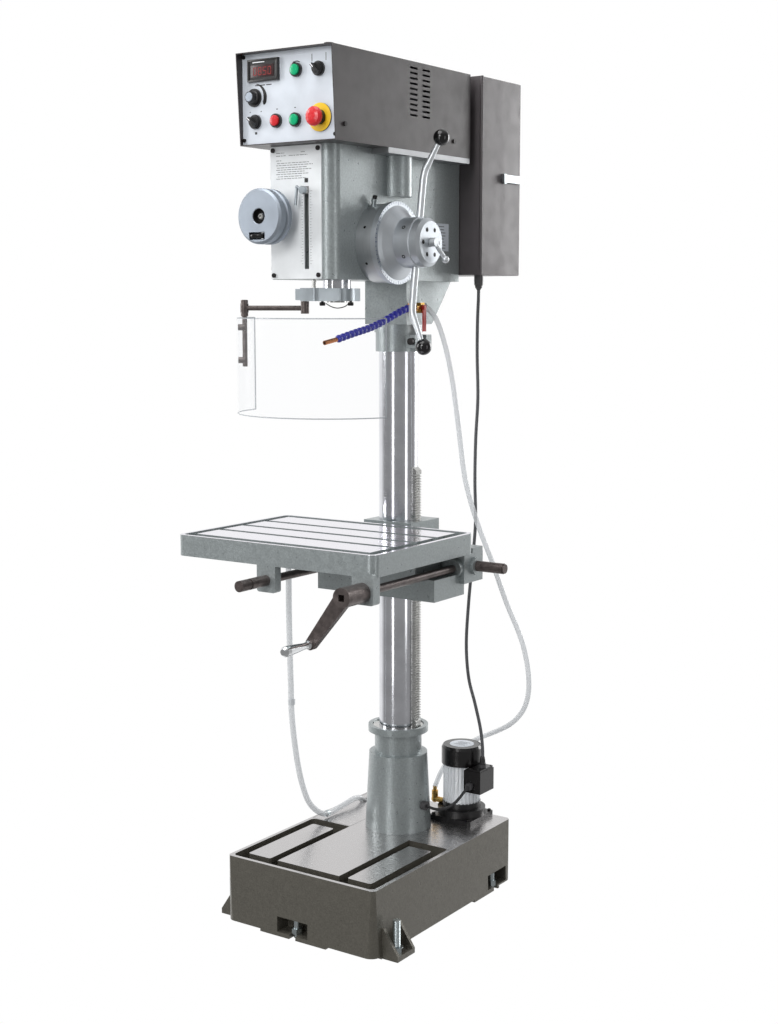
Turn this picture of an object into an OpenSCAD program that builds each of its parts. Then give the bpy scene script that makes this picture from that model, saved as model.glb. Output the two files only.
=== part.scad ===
// Floor-standing column drill press with a coolant pump, in millimetres.
// Origin: centre of the base on the floor. +Z is up, +X is the operator's right, +Y is the back.

/* [Base] */
// Width of the cast base
base_w = 420; // [400:5:440]
// Depth of the cast base
base_d = 600; // [590:5:640]
// Height of the cast base
base_h = 160; // [150:2:170]

/* [Column] */
// Radius of the ground steel column
col_r = 46; // [44:0.5:48]
// Distance from the base centre back to the column axis
col_y = 105; // [100:1:110]
// Height of the column's top end
col_top = 1690; // [1680:2:1700]

/* [Table] */
// Width of the work table
table_w = 534; // [520:2:560]
// Depth of the work table
table_d = 394; // [380:2:400]
// Height of the table's top face above the floor
table_z = 915; // [900:1:930]
// Height of the table's rim
table_t = 47; // [44:1:50]

/* [Head] */
// Width of the head casting
head_w = 166; // [160:2:176]
// Height of the head casting's underside above the floor
head_z0 = 1475; // [1470:1:1480]
// Height of the ledge on top of the head casting
head_z1 = 1757; // [1750:1:1760]
// Distance from the column axis forward to the spindle axis
throat = 245; // [240:1:250]
// Radius of the quill
quill_r = 31; // [29:0.5:32]

/* [Covers] */
// Width of the motor and belt cover
cover_w = 253; // [240:1:256]
// Height of the top of the covers above the floor
cover_top = 1948; // [1940:1:1960]
// Thickness of the sheet steel
sheet = 2; // [1.5:0.5:3]

/* [Guard] */
// Outer radius of the clear chuck guard
guard_r = 206; // [190:1:210]
// Height of the clear chuck guard
guard_h = 211; // [180:1:220]

/* [Hidden] */
$fn = 64;

run = 0.05;      // radial running clearance of a shaft in its bore
gap = 0.3;       // clearance between faces of pieces that move past each other
eps = 1;         // overshoot of a cut past the face that it opens

cast_grey = [0.48, 0.51, 0.50];
dark_sheet = [0.33, 0.30, 0.30];
panel_grey = [0.80, 0.83, 0.86];
steel = [0.75, 0.76, 0.78];
black_oxide = [0.26, 0.23, 0.22];
black_plastic = [0.07, 0.07, 0.08];
brass = [0.76, 0.60, 0.32];
clear_hose = [0.90, 0.92, 0.93];

// Base
base_corner_r = 25;
base_draft = 4;
rim_w = 9;
trough_floor = 128;
foot_step = 6;
platform_x = 87;
slot_w = 22;
slot_under_w = 34;
slot_under_h = 20;
strip_out_x = 173;
strip_front_y = -260;
strip_back_y = -12;
deck_front_y = 22;
tank_x = 164;
tank_y = 254;
pocket_deep = 40;
pocket_w = 86;
pocket_h = 36;
pocket_z = 10;
pocket_front_x = -16;
pocket_side_y = 228;
bolt_front_y = -281;
bolt_side_x = 196;
bolt_side_y = 222;
bracket_y = -234;
bracket_w = 68;
bracket_out = 250;
bracket_h = 68;
bracket_plate = 12;
stud_x = 232;
stud_y = -246;
anchor_y = -219;
anchor_r = 9;
tank_cover_low = [-200, 26];
tank_cover_high = [-88, 290];
tank_cover_t = 5;

// Column, rack and table slide
foot_top = 346;
ring_z = 398;
ring_h = 16;
ring_floor = 402;
rack_top = 1042;
rack_half = 11;
rack_root = 54;
rack_tip = 58;
rack_pitch = 6.285;
shaft_z = 836;
shaft_x = 238;
rod_x = -15;
pinion_x = 74;
pinion_tip = 15;
pinion_root = 11;
pinion_teeth = 18;
handle_z = -41;
shaft_r = 9;
table_front = 13 - table_d;
table_bottom = table_z - table_t;
lock_y = 23;
lock_z = 838;

// Head
spin_y = col_y - throat;
spindle_r = 22;
taper_r = 15.6;
head_front = -267;
head_back = 242;
feed_y = spin_y + 39;
feed_z = 1554;
feed_shaft_r = 12;
feed_boss_r = 85;
fine_x = -60;
fine_z = 1607;
fine_r = 58.5;
slot_x = 16.5;
slot_z0 = 1497;
slot_z1 = 1670;
pointer_y = -245;
collar_z0 = 1429;
collar_z1 = 1457;
lever_plane = 188;
lever_tilt = 8.7;
lever_bend = 162;
lever_out = 38;
lever_reach = 225;
guard_y = -165;
guard_z0 = 1183;
guard_pivot = [-4, -251];
guard_at = [-155, -272];
guard_rod_z = 1414;
guard_rod_r = 5.5;

// Covers and controls
cover_front = -320;
cover_lean = 6;
cover_back = 214;
cover_z0 = head_z1;
panel_y = -306;
cab_x0 = -138;
cab_x1 = 136;
cab_y0 = head_back;
cab_y1 = 428;
cab_z0 = 1491;
latch_y = 350;
latch_z = 1720;
gland_x = 120;
gland_y = 268;
hinge_x = 140;
hinge_y = 243.5;
estop_at = [82, 1805];
start_at = [21, 1905];
stop_at = [-33, 1805];
run_at = [18, 1804];
selector_upper_at = [79, 1903];
selector_lower_at = [-89, 1806];
speed_at = [-92, 1856];
button_r = 11;

// Pump
pump_x = 100;
pump_y = 238;

// Cord and hose routes, from one end to the other
power_route = [
    [120, 268, 1475], [120, 268, 1440], [119, 266, 1380], [120, 264, 1300], [124, 262, 1200],
    [120, 260, 1100], [121, 256, 1000], [126, 252, 900], [120, 248, 800], [114, 242, 700],
    [112, 236, 600], [124, 228, 520], [146, 222, 460], [164, 219, 400], [172, 217, 350],
    [172, 217, 312]
];
pump_route = [
    [156, 177, 262], [150, 165, 250], [140, 145, 228], [122, 128, 214], [105, 115, 212],
    [96, 100, 220], [88, 97, 224]
];
hose_route = [
    [73, 101, 1418], [78, 109, 1418], [90, 114, 1406], [112, 118, 1356], [130, 130, 1267],
    [143, 145, 1133], [155, 155, 1013], [182, 170, 907], [217, 180, 818], [251, 190, 721],
    [292, 195, 633], [308, 200, 542], [297, 205, 478], [255, 220, 429], [190, 255, 389],
    [97, 305, 340], [45, 290, 300], [28, 258, 262], [30, 225, 228]
];
drain_port = [-172, 211];
drain_route = [
    [-177, -95, 850], [-177, -95, 780], [-177, -95, 700], [-178, -92, 620], [-178, -89, 530],
    [-178, -85, 437], [-177, -65, 320], [-176, -35, 235], [-174, 0, 192], [-171, 41, 171],
    [-172, 100, 172], [-173, 150, 176.5], [-173, 170, 176], [-172.5, 186, 172], [-172, 200, 163.7],
    [-172, 210, 156.7]
];
arm_route = [
    [73, 51.5, 1414], [72, 38, 1413], [69, 10, 1406], [62, -39, 1387], [57, -90, 1371],
    [53, -150, 1359], [48, -208, 1346.3]
];

// ---- Helpers ----

module rounded_rect(w, d, r) {
    square([w - 2 * r, d], center = true);
    square([w, d - 2 * r], center = true);
    for (sx = [-1, 1], sy = [-1, 1])
        translate([sx * (w / 2 - r), sy * (d / 2 - r)]) circle(r);
}

// A box given by its low and high corners
module box(low, high) {
    translate(low) cube(high - low);
}

// A cylinder along +X, +Y or +Z that starts at a point
module rod_x(at, r, length) {
    translate(at) rotate([0, 90, 0]) cylinder(r = r, h = length);
}
module rod_y(at, r, length) {
    translate(at) rotate([-90, 0, 0]) cylinder(r = r, h = length);
}
module rod_z(at, r, length) {
    translate(at) cylinder(r = r, h = length);
}

// A round bar between two points
module bar(a, b, r) {
    v = b - a;
    len_v = norm(v);
    translate(a)
        rotate([0, acos(v[2] / len_v), atan2(v[1], v[0])])
            cylinder(r = r, h = len_v);
}

module hex_nut(at, across, h) {
    translate(at) cylinder(r = across / sqrt(3), h = h, $fn = 6);
}

// Tube swept along a smooth curve through the points of a route
function unit(v) = v / norm(v);
function clampi(i, n) = max(0, min(n - 1, i));
function curve_point(p, i, t) =
    let (n = len(p), a = p[clampi(i - 1, n)], b = p[i], c = p[clampi(i + 1, n)], d = p[clampi(i + 2, n)])
    0.5 * (2 * b + (c - a) * t + (2 * a - 5 * b + 4 * c - d) * t * t + (3 * b - a - 3 * c + d) * t * t * t);
function curve(p, steps) = [
    for (i = [0:len(p) - 2], k = [0:steps - 1]) curve_point(p, i, k / steps),
    p[len(p) - 1]
];
function tangents(p) = [
    for (i = [0:len(p) - 1]) unit(p[clampi(i + 1, len(p))] - p[clampi(i - 1, len(p))])
];
function normals(t) = [
    for (i = 0, n = unit(cross(t[0], [0.3, 0.9, 0.2])); i < len(t);
         i = i + 1, n = i < len(t) ? unit(n - (n * t[i]) * t[i]) : n) n
];
module tube(route, r, steps, sides) {
    p = curve(route, steps);
    t = tangents(p);
    n = normals(t);
    rings = len(p);
    points = [
        for (i = [0:rings - 1], k = [0:sides - 1])
            p[i] + r * (cos(360 * k / sides) * n[i] + sin(360 * k / sides) * cross(t[i], n[i]))
    ];
    walls = [
        for (i = [0:rings - 2], k = [0:sides - 1])
            [i * sides + k, i * sides + (k + 1) % sides,
             (i + 1) * sides + (k + 1) % sides, (i + 1) * sides + k]
    ];
    polyhedron(points, concat([for (w = walls) [w[3], w[2], w[1], w[0]]],
        [[for (k = [0:sides - 1]) k]],
        [[for (k = [sides - 1:-1:0]) (rings - 1) * sides + k]]), convexity = 6);
}

// ---- Base ----

module drafted_block() {
    half_w = base_w / 2;
    half_d = base_d / 2;
    intersection() {
        linear_extrude(base_h) rounded_rect(base_w, base_d, base_corner_r);
        rotate([90, 0, 0])
            linear_extrude(base_d + 2 * eps, center = true)
                polygon([[-half_w, 0], [half_w, 0], [half_w - base_draft, base_h], [base_draft - half_w, base_h]]);
        rotate([90, 0, 90])
            linear_extrude(base_w + 2 * eps, center = true)
                polygon([[-half_d, 0], [half_d, 0], [half_d - base_draft, base_h], [base_draft - half_d, base_h]]);
    }
}

// Triangular foot bracket with a flat foot plate, on the right side
module foot_bracket() {
    inner_x = base_w / 2 - 12;
    for (y0 = [bracket_y - bracket_w / 2, bracket_y + bracket_w / 2 - 8])
        translate([0, y0 + 8, 0]) rotate([90, 0, 0]) linear_extrude(8)
            polygon([[inner_x, 0], [bracket_out, 0], [bracket_out, bracket_plate],
                     [base_w / 2 + 2, bracket_h], [inner_x, bracket_h]]);
    box([inner_x, bracket_y - bracket_w / 2, 0], [bracket_out, bracket_y + bracket_w / 2, bracket_plate]);
}

module trough() {
    inner_x = base_w / 2 - base_draft - rim_w;
    inner_y = base_d / 2 - base_draft - rim_w;
    difference() {
        translate([0, (deck_front_y - inner_y) / 2, trough_floor])
            linear_extrude(base_h) rounded_rect(2 * inner_x, deck_front_y + inner_y, 12);
        box([-platform_x, strip_front_y, 0], [platform_x, base_d, 2 * base_h]);
        for (s = [-1, 1])
            translate([s * (platform_x + slot_w + strip_out_x) / 2, (strip_front_y + strip_back_y) / 2, 0])
                linear_extrude(2 * base_h)
                    rounded_rect(strip_out_x - platform_x - slot_w, strip_back_y - strip_front_y, 6);
    }
}

module base() color(cast_grey) difference() {
    union() {
        drafted_block();
        foot_bracket();
        mirror([1, 0, 0]) foot_bracket();
    }
    trough();
    for (s = [-1, 1]) {
        mid = s * (platform_x + slot_w / 2);
        box([mid - slot_w / 2, strip_front_y, trough_floor], [mid + slot_w / 2, deck_front_y, base_h + eps]);
        box([mid - slot_under_w / 2, strip_front_y - 20, trough_floor],
            [mid + slot_under_w / 2, deck_front_y, trough_floor + slot_under_h]);
    }
    // coolant tank under the trough and under the deck
    box([-tank_x, -tank_y, foot_step + 2], [tank_x, tank_y, trough_floor - 12]);
    box([-tank_x, deck_front_y + 12, foot_step + 2], [tank_x, tank_y, base_h - 12]);
    // relief that leaves raised pads round the anchor points
    difference() {
        box([-base_w / 2 - eps, -base_d / 2 - eps, -eps], [base_w / 2 + eps, base_d / 2 + eps, foot_step]);
        box([-108, -base_d, -2 * eps], [78, -tank_y, foot_step + eps]);
        box([-tank_x, -tank_y - eps, -2 * eps], [tank_x, tank_y, foot_step + 2 * eps]);
        for (s = [-1, 1]) {
            translate([s * 210, 180, 0]) cube([60, 116, 20], center = true);
            translate([s * 210, bracket_y, 0]) cube([60, bracket_w + 8, 20], center = true);
        }
    }
    // anchor pockets at the front and on both sides
    translate([pocket_front_x, 0, 0]) {
        box([-pocket_w / 2, -base_d / 2 - eps, pocket_z], [pocket_w / 2, -base_d / 2 + pocket_deep, pocket_z + pocket_h]);
        box([-anchor_r, -base_d / 2 - eps, -eps], [anchor_r, bolt_front_y + anchor_r, pocket_z + eps]);
    }
    for (s = [-1, 1]) {
        translate([s * base_w / 2, pocket_side_y, pocket_z + pocket_h / 2]) cube([2 * pocket_deep, pocket_w, pocket_h], center = true);
        translate([s * 210, bolt_side_y, pocket_z / 2]) cube([46, 2 * anchor_r, pocket_z + 4 * eps], center = true);
        rod_z([s * stud_x, stud_y, -eps], anchor_r, 40);
        rod_z([s * stud_x, anchor_y, -eps], anchor_r, 40);
    }
    // strainer holes in the trough and the hose port in the deck
    for (k = [-1, 0, 1]) rod_z([k * 14, (strip_front_y - base_d / 2 + rim_w) / 2 + 2, trough_floor - 20], 4, 40);
    rod_z([pump_x, pump_y, base_h - 20], 40, 40);
    // seat of the removable tank cover
    box([tank_cover_low[0] - 1, tank_cover_low[1] - 1, base_h - tank_cover_t],
        [tank_cover_high[0] + 1, tank_cover_high[1] + 1, base_h + eps]);
    box([tank_cover_low[0] + 12, tank_cover_low[1] + 12, base_h - 20],
        [tank_cover_high[0] - 12, tank_cover_high[1] - 12, base_h]);
}

module tank_cover() color(cast_grey) difference() {
    box([tank_cover_low[0], tank_cover_low[1], base_h - tank_cover_t], [tank_cover_high[0], tank_cover_high[1], base_h]);
    rod_z([drain_port[0], drain_port[1], base_h - 10], 18, 20);
}

module levelling_bolts() color(steel) {
    for (s = [-1, 1]) {
        rod_z([s * stud_x, stud_y, 1], 7.8, 86);
        hex_nut([s * stud_x, stud_y, bracket_plate], 22, 13);
        rod_z([s * bolt_side_x, bolt_side_y, 1], 7.8, 40);
        hex_nut([s * bolt_side_x, bolt_side_y, pocket_z], 22, 13);
    }
    rod_z([pocket_front_x, bolt_front_y, 1], 7.8, 40);
    hex_nut([pocket_front_x, bolt_front_y, pocket_z], 22, 13);
}

module column_foot() color(cast_grey) translate([0, col_y, 0]) rotate_extrude($fn = 96)
    polygon([[0, base_h], [80, base_h], [80, base_h + 3], [70.5, foot_top],
             [57, foot_top], [57, ring_z], [72.5, ring_z], [72.5, ring_z + ring_h], [62, ring_z + ring_h],
             [62, ring_floor], [col_r + run, ring_floor], [col_r + run, base_h + 10], [0, base_h + 10]]);

module column() color(steel) translate([0, col_y, 0]) difference() {
    rod_z([0, 0, base_h + 10], col_r, col_top - base_h - 10);
    rod_z([0, 0, base_h], col_r - 10, col_top - base_h + eps);
}

// Rack bar on the column's right side, on a ring that turns in the foot's cup
module rack() color(steel) translate([0, col_y, 0]) difference() {
    union() {
        rod_z([0, 0, ring_floor + gap], 61, 9);
        rack_z0 = ring_floor + gap;
        teeth = floor((rack_top - 12 - ring_z - 33.5) / rack_pitch);
        tooth_z = ring_z + 33.5;
        translate([0, rack_half, 0]) rotate([90, 0, 0]) linear_extrude(2 * rack_half)
            polygon(concat(
                [[col_r - 8, rack_z0], [rack_tip, rack_z0], [rack_tip, tooth_z - 3]],
                [for (k = [0:teeth - 1], c = [[rack_root, 0], [rack_root, 1.5], [rack_tip, 2.6], [rack_tip, 4.4]])
                    [c[0], tooth_z + k * rack_pitch + c[1]]],
                [[rack_tip, rack_top - 8], [col_r + 2, rack_top], [col_r - 8, rack_top]]));
    }
    rod_z([0, 0, ring_z], col_r + gap, rack_top);
}

// ---- Table and its slide ----

module table_bracket() color(cast_grey) difference() {
    union() {
        box([-67.5, col_y - 47, 775], [67.5, col_y + 74, 914]);
        box([-67.5, -126, 824 - eps], [200, col_y - 46, table_bottom]);
        box([-67.5, -126, 775], [250, -2, 824]);
        box([-67.5, -21, 802], [262, col_y - 46, table_bottom]);
        box([200, 14, 802], [262, col_y - 47, 879]);
        rod_y([shaft_x, -33, shaft_z], 22, 14);
        rod_x([261, lock_y, lock_z], 20, 9);
        // boss round the pinion that climbs the rack
        box([60, 80, 812], [95, 130, 862]);
    }
    rod_z([0, col_y, 700], col_r + run, 300);
    box([0, col_y - rack_half - 1.5, 700], [rack_tip + 3.5, col_y + rack_half + 1.5, 1000]);
    rod_y([pinion_x, col_y - rack_half - 1.5, shaft_z], pinion_tip + 1, 2 * rack_half + 3);
    rod_y([pinion_x, 70, shaft_z], 7 + run, 70);
    box([-2, col_y + 40, 700], [2, col_y + 100, 1000]);
    rod_y([rod_x, -130, shaft_z], shaft_r + run, col_y - 44 + 130);
    rod_y([shaft_x, -40, shaft_z], shaft_r + run, 50);
    rod_x([215, lock_y, lock_z], 8 + run, 60);
    // relief between the webs under the arm
    box([95, -106, 770], [180, 30, table_bottom - 20]);
}

module lift_pinion() color(steel) {
    translate([pinion_x, col_y, shaft_z]) rotate([90, 0, 0])
        linear_extrude(2 * rack_half, center = true) {
            circle(pinion_root);
            for (k = [0:pinion_teeth - 1]) rotate(360 * (k + 0.5) / pinion_teeth)
                polygon([[0, -1.3], [pinion_root, -1.3], [pinion_tip, -0.6], [pinion_tip, 0.6],
                         [pinion_root, 1.3], [0, 1.3]]);
        }
    rod_y([pinion_x, 82, shaft_z], 7, 46);
}

module table_lug(x, w, t) translate([x, table_front + t, shaft_z - 26]) rotate([90, 0, 0]) linear_extrude(t)
    translate([0, (table_bottom + 36 - shaft_z) / 2]) rounded_rect(w, table_bottom + 36 - shaft_z, 6);

module table() color(cast_grey) difference() {
    union() {
        translate([0, table_front + table_d / 2, table_bottom]) linear_extrude(table_t)
            rounded_rect(table_w, table_d, 18);
        // bearing lugs of the crank shaft and of the clamp rod
        table_lug(shaft_x, 54, 24);
        table_lug(rod_x, 50, 20);
        rod_z([-177, -95, 850], 9, 40);
    }
    gutter_z = table_z - 21;
    inner_w = table_w - 18;
    inner_d = table_d - 18;
    land_w = table_w - 62;
    land_y0 = table_front + 31;
    land_d = table_d - 62;
    difference() {
        translate([0, table_front + table_d / 2, gutter_z]) linear_extrude(table_t)
            rounded_rect(inner_w, inner_d, 12);
        box([-land_w / 2, land_y0, 0], [land_w / 2, land_y0 + land_d, table_z + table_t]);
    }
    for (k = [1:3]) {
        y0 = land_y0 + k * land_d / 4;
        box([-land_w / 2 - eps, y0 - 8, gutter_z], [land_w / 2 + eps, y0 + 8, table_z + eps]);
        box([-land_w / 2 - eps, y0 - 14, gutter_z], [land_w / 2 + eps, y0 + 14, gutter_z + 10]);
    }
    // cored underside round the pad that sits on the bracket
    difference() {
        box([-table_w / 2 + 12, table_front + 30, table_bottom - eps], [table_w / 2 - 12, 1, gutter_z - 10]);
        box([-80, -140, table_bottom - 2 * eps], [212, 13, gutter_z]);
        rod_z([-177, -95, 850], 16, 60);
    }
    rod_y([shaft_x, table_front - eps, shaft_z], shaft_r + run, 30);
    rod_y([rod_x, table_front - eps, shaft_z], shaft_r + run, 30);
    rod_z([-177, -95, 840], 4, 80);
}

crank_end = [155, 730];
module crank() color(black_oxide) difference() {
    union() {
        rod_y([shaft_x, -455, shaft_z], 21, 455 + table_front - gap);
        rod_y([shaft_x, table_front - eps, shaft_z], shaft_r, 8 + eps - table_front);
        hull() {
            rod_y([shaft_x, -452, shaft_z], 18, 14);
            rod_y([crank_end[0], -452, crank_end[1]], 12, 14);
        }
    }
    box([shaft_x - 7, -460, shaft_z - 7], [shaft_x + 7, -435, shaft_z + 7]);
    rod_y([crank_end[0], -460, crank_end[1]], 5 + run, 40);
}

// Turned handle, thicker at its free end, on a pin through the crank
module crank_grip() color(steel) translate([crank_end[0], -452 - gap, crank_end[1]]) rotate([90, 0, 0]) {
    rotate_extrude()
        polygon([[0, 0], [9, 0], [9.5, 5], [7.5, 11], [7, 19], [9.5, 46], [11.5, 72], [11, 82], [6.5, 88], [0, 89]]);
    rod_z([0, 0, -14], 5, 15);
}

module clamp_rod() color(black_oxide) {
    rod_y([rod_x, table_front - gap - 90, shaft_z], 12, 28);
    rod_y([rod_x, table_front - gap - 62, shaft_z], 10.5, 6);
    rod_y([rod_x, table_front - gap - 56, shaft_z], 12, 56);
    rod_y([rod_x, table_front - gap - eps, shaft_z], shaft_r, col_y - col_r - 1.2 - table_front);
}

module lock_handle() color(black_oxide) {
    rod_x([270 + gap, lock_y, lock_z], 12, 68);
    rod_x([338, lock_y, lock_z], 10.5, 4);
    rod_x([217, lock_y, lock_z], 8, 55);
}

// ---- Head ----

module head_outline() {
    difference() {
        translate([0, (head_front + head_back) / 2]) rounded_rect(head_w, head_back - head_front, 6);
        translate([head_w / 2 - 28, head_front - eps]) square([30, 29]);
    }
    translate([head_w / 2 - 28, head_front + 28]) circle(28);
}

// Machined rails bolted along the head's top edges, which carry the belt cover
module motor_rails() color(steel) for (s = [-1, 1]) {
    x0 = s > 0 ? head_w / 2 + 0.1 : -128;
    box([x0, -124, head_z1 - 11.9], [x0 + 128 - head_w / 2 - 0.1, 209, head_z1 - 0.1]);
}

module head_casting() color(cast_grey) difference() {
    union() {
        difference() {
            translate([0, 0, head_z0]) linear_extrude(head_z1 - head_z0) head_outline();
            box([-head_w / 2 + 8, head_front + 16, head_z0 + 13],
                [head_w / 2 - 8, head_back - 14, head_z1 + eps]);
        }
        rod_z([0, spin_y, head_z0], 44, 215);
        rod_z([0, col_y, head_z0], 60, col_top + 10 - head_z0);
        rod_x([-head_w / 2 + 1, feed_y, feed_z], 20, head_w - 2);
        rod_x([head_w / 2 - 1, feed_y, feed_z], feed_boss_r, 43);
        rod_z([head_w / 2, -29, 1658], 36, head_z1 - 12 - 1658);
        // neck and split collar round the column
        translate([-58, 0, 0]) rotate([90, 0, 90]) linear_extrude(116)
            polygon([[51, head_z0 + 1], [51, 1376], [159, 1376], [171, 1389], [head_back, head_z0 + 1]]);
        rod_z([0, col_y, 1357], 57, 20);
        rod_z([0, col_y, 1313], 54, 50);
        box([36, col_y - 34, 1322], [70, col_y - 12, 1352]);
        box([36, col_y + 12, 1322], [70, col_y + 34, 1352]);
    }
    rod_z([0, col_y, 1300], col_r + run, col_top - 1299);
    rod_z([0, spin_y, head_z0 - eps], quill_r + run, 300);
    rod_x([-77, feed_y, feed_z], feed_shaft_r + run, 220);
    rod_y([fine_x, head_front - eps, fine_z], 8 + run, 30);
    box([slot_x - 6, head_front - eps, slot_z0], [slot_x + 6, head_front + 20, slot_z1]);
    rod_z([slot_x, pointer_y, head_z0 - eps], 7, 20);
    // split of the collar
    box([30, col_y - 2, 1300], [80, col_y + 2, 1357]);
    // room for the worm wheel beside the quill boss
    box([-75, feed_y - 42, feed_z - 42], [-46, feed_y + 42, feed_z + 42]);
}

module front_plate() color(panel_grey) difference() {
    translate([0, head_front, 0]) rotate([90, 0, 0]) linear_extrude(3) difference() {
        translate([-12, 1616]) rounded_rect(136, 280, 4);
        translate([slot_x - 6, slot_z0]) square([12, slot_z1 - slot_z0]);
        translate([fine_x, fine_z]) circle(10);
    }
}

module quill() color(steel) difference() {
    rod_z([0, spin_y, collar_z0], quill_r, 271);
    rod_z([0, spin_y, collar_z0 - eps], spindle_r + run, 280);
    // flat that clears the feed shaft over the whole stroke
    box([-quill_r, feed_y - feed_shaft_r - 0.4, collar_z1 + 8], [quill_r, feed_y + 20, 1710]);
}

module spindle() color(steel) translate([0, spin_y, 0]) difference() {
    union() {
        rod_z([0, 0, 1426], spindle_r, 279);
        rod_z([0, 0, 1700], 11, 235);
    }
    translate([0, 0, 1425]) cylinder(r1 = taper_r, r2 = taper_r - 2.7, h = 105);
}

module quill_collar() color(cast_grey) difference() {
    union() {
        rod_z([0, spin_y, collar_z0], 42, collar_z1 - collar_z0);
        box([-10, -252, collar_z0], [33, -150, collar_z1]);
        box([-10, -260, collar_z0], [23, -240, collar_z1]);
        rod_z([23, -250, collar_z0], 10, collar_z1 - collar_z0);
        box([-23, -260, collar_z0 + 2], [-9, -240, collar_z1 - 2]);
        box([-24, spin_y + 26, collar_z0], [24, spin_y + 56, collar_z1]);
    }
    rod_z([0, spin_y, collar_z0 - eps], quill_r + run, 40);
    rod_z([slot_x, pointer_y, collar_z0 + 6], 5 + run, 40);
    rod_z([guard_pivot[0], guard_pivot[1], collar_z0 - eps], 4 + run, 18);
    box([-2, spin_y, collar_z0 - eps], [2, spin_y + 80, collar_z1 + eps]);
}

module depth_pointer() color(steel) {
    rod_z([slot_x, pointer_y, collar_z0 + 6], 5, 230);
    box([slot_x - 5, -278, 1655], [slot_x + 5, pointer_y + 4, 1668]);
}

module depth_lever() color(steel) {
    rod_y([slot_x, -287, 1661.5], 8, 8.7);
    bar([slot_x - 4, -283, 1663], [2, -284, 1668], 3.2);
    bar([2, -284, 1668], [-1, -285, 1630], 3);
    translate([2, -284, 1668]) sphere(4);
}

module guard_arm() color(black_oxide) difference() {
    union() {
        rod_z([guard_pivot[0], guard_pivot[1], 1402], 9, collar_z0 - gap - 1402);
        rod_z([guard_pivot[0], guard_pivot[1], 1420], 4, 22);
        bar([guard_pivot[0], guard_pivot[1], guard_rod_z], [guard_at[0], guard_at[1], guard_rod_z], 5.5);
        rod_z([guard_at[0], guard_at[1], guard_rod_z - 10], 9, 20);
    }
    rod_z([guard_at[0], guard_at[1], guard_rod_z - 20], guard_rod_r + run, 40);
}

// Vertical rod that carries the shield, turning in the arm's clamp
module guard_rod() color(black_oxide) {
    rod_z([guard_at[0], guard_at[1], 1286], guard_rod_r, 146);
    rod_z([guard_at[0], guard_at[1], guard_rod_z + 10 + gap], 8, 7);
    rod_z([guard_at[0], guard_at[1], guard_rod_z - 18], 8, 8 - gap);
    out = unit([guard_at[0], guard_at[1] - guard_y, 0]);
    for (z = [1300, 1372])
        bar([guard_at[0], guard_at[1], z], [0, guard_y, z] + (guard_r - 3) * out, 7);
}

module guard_shield() color([0.85, 0.9, 0.92, 0.4])
    translate([0, guard_y, guard_z0]) rotate([0, 0, -177]) rotate_extrude(angle = 159, $fn = 96)
        translate([guard_r - 3, 0]) square([3, guard_h]);

// Feed hub, turned about +X
module feed_hub() color(steel) translate([0, feed_y, feed_z]) rotate([0, 90, 0]) difference() {
    rotate_extrude($fn = 96)
        polygon([[0, -74], [feed_shaft_r, -74], [feed_shaft_r, -70], [39, -70], [39, -52],
                 [feed_shaft_r, -52], [feed_shaft_r, 125 + gap], [89, 125 + gap], [89, 138], [80, 138],
                 [72, 144], [56, 158], [54, 160], [54, 197], [52, 198], [52, 215],
                 [44.5, 222], [10, 222], [10, 219], [0, 219]]);
    rod_z([0, 0, 200], 5 + run, 30);
    for (a = [30:60:330]) rotate([0, 0, a]) rod_z([30, 0, 216], 3.5, 10);
    // seats of the two feed levers
    for (s = [-1, 1]) rotate([0, 0, s > 0 ? 180 - lever_tilt : -lever_tilt]) rod_x([28, 0, lever_plane], 6 + run, 40);
}

function feed_dir(s) = s * [0, sin(lever_tilt), cos(lever_tilt)];
function feed_point(s, r, x) = [lever_plane + x, feed_y, feed_z] + r * feed_dir(s);

module feed_levers() color(steel) for (s = [-1, 1]) {
    bar(feed_point(s, 30, 0), feed_point(s, lever_bend, 0), 6);
    translate(feed_point(s, lever_bend, 0)) sphere(6.6);
    bar(feed_point(s, lever_bend, 0), feed_point(s, lever_reach - 8, lever_out - 5), 6);
}

module ball_knobs() color(black_plastic) for (s = [-1, 1]) difference() {
    translate(feed_point(s, lever_reach, lever_out)) sphere(17.5);
    bar(feed_point(s, lever_bend, 0), feed_point(s, lever_reach - 8, lever_out - 5), 6);
}

module hub_lever() color(steel) {
    rod_x([205, feed_y, feed_z], 5, 20);
    rod_x([222 + gap, feed_y, feed_z], 9.5, 14);
    bar([231, feed_y, feed_z], [240, feed_y + 30, feed_z - 36], 4.5);
    translate([240, feed_y + 30, feed_z - 36]) sphere(8);
}

// Fine feed handwheel on its worm shaft, turned about the Y axis
module fine_feed_wheel() color(steel) translate([fine_x, 0, fine_z]) rotate([90, 0, 0]) difference() {
    rotate_extrude($fn = 96)
        polygon([[0, 75], [13, 75], [13, 120], [8, 120], [8, 293], [fine_r - 4, 293], [fine_r, 297],
                 [fine_r, 308], [fine_r - 4, 311], [fine_r - 4, 315], [fine_r, 318], [fine_r, 333],
                 [fine_r - 5, 337], [17, 337], [16, 336], [16, 322], [7, 322], [7, 327], [0, 327]]);
    box([-26, handle_z - 8, 322], [16, handle_z + 8, 340]);
}

// Folding handle, lying in the wheel's face
module folding_handle() color(black_plastic) translate([fine_x, 0, fine_z]) rotate([90, 0, 0]) {
    translate([12, handle_z, 332]) rotate([0, -90, 0]) cylinder(r = 6.5, h = 35);
    translate([8, handle_z, 332]) rotate([90, 0, 0]) cylinder(r = 3, h = 15, center = true);
}

// ---- Covers, motor and drive ----

module cover_profile(front_shift, inset) {
    polygon([[cover_front + cover_lean - front_shift, cover_z0 + inset], [cover_back - inset, cover_z0 + inset],
             [cover_back - inset, cover_top - inset], [cover_front - cover_lean - front_shift, cover_top - inset]]);
}

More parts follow.
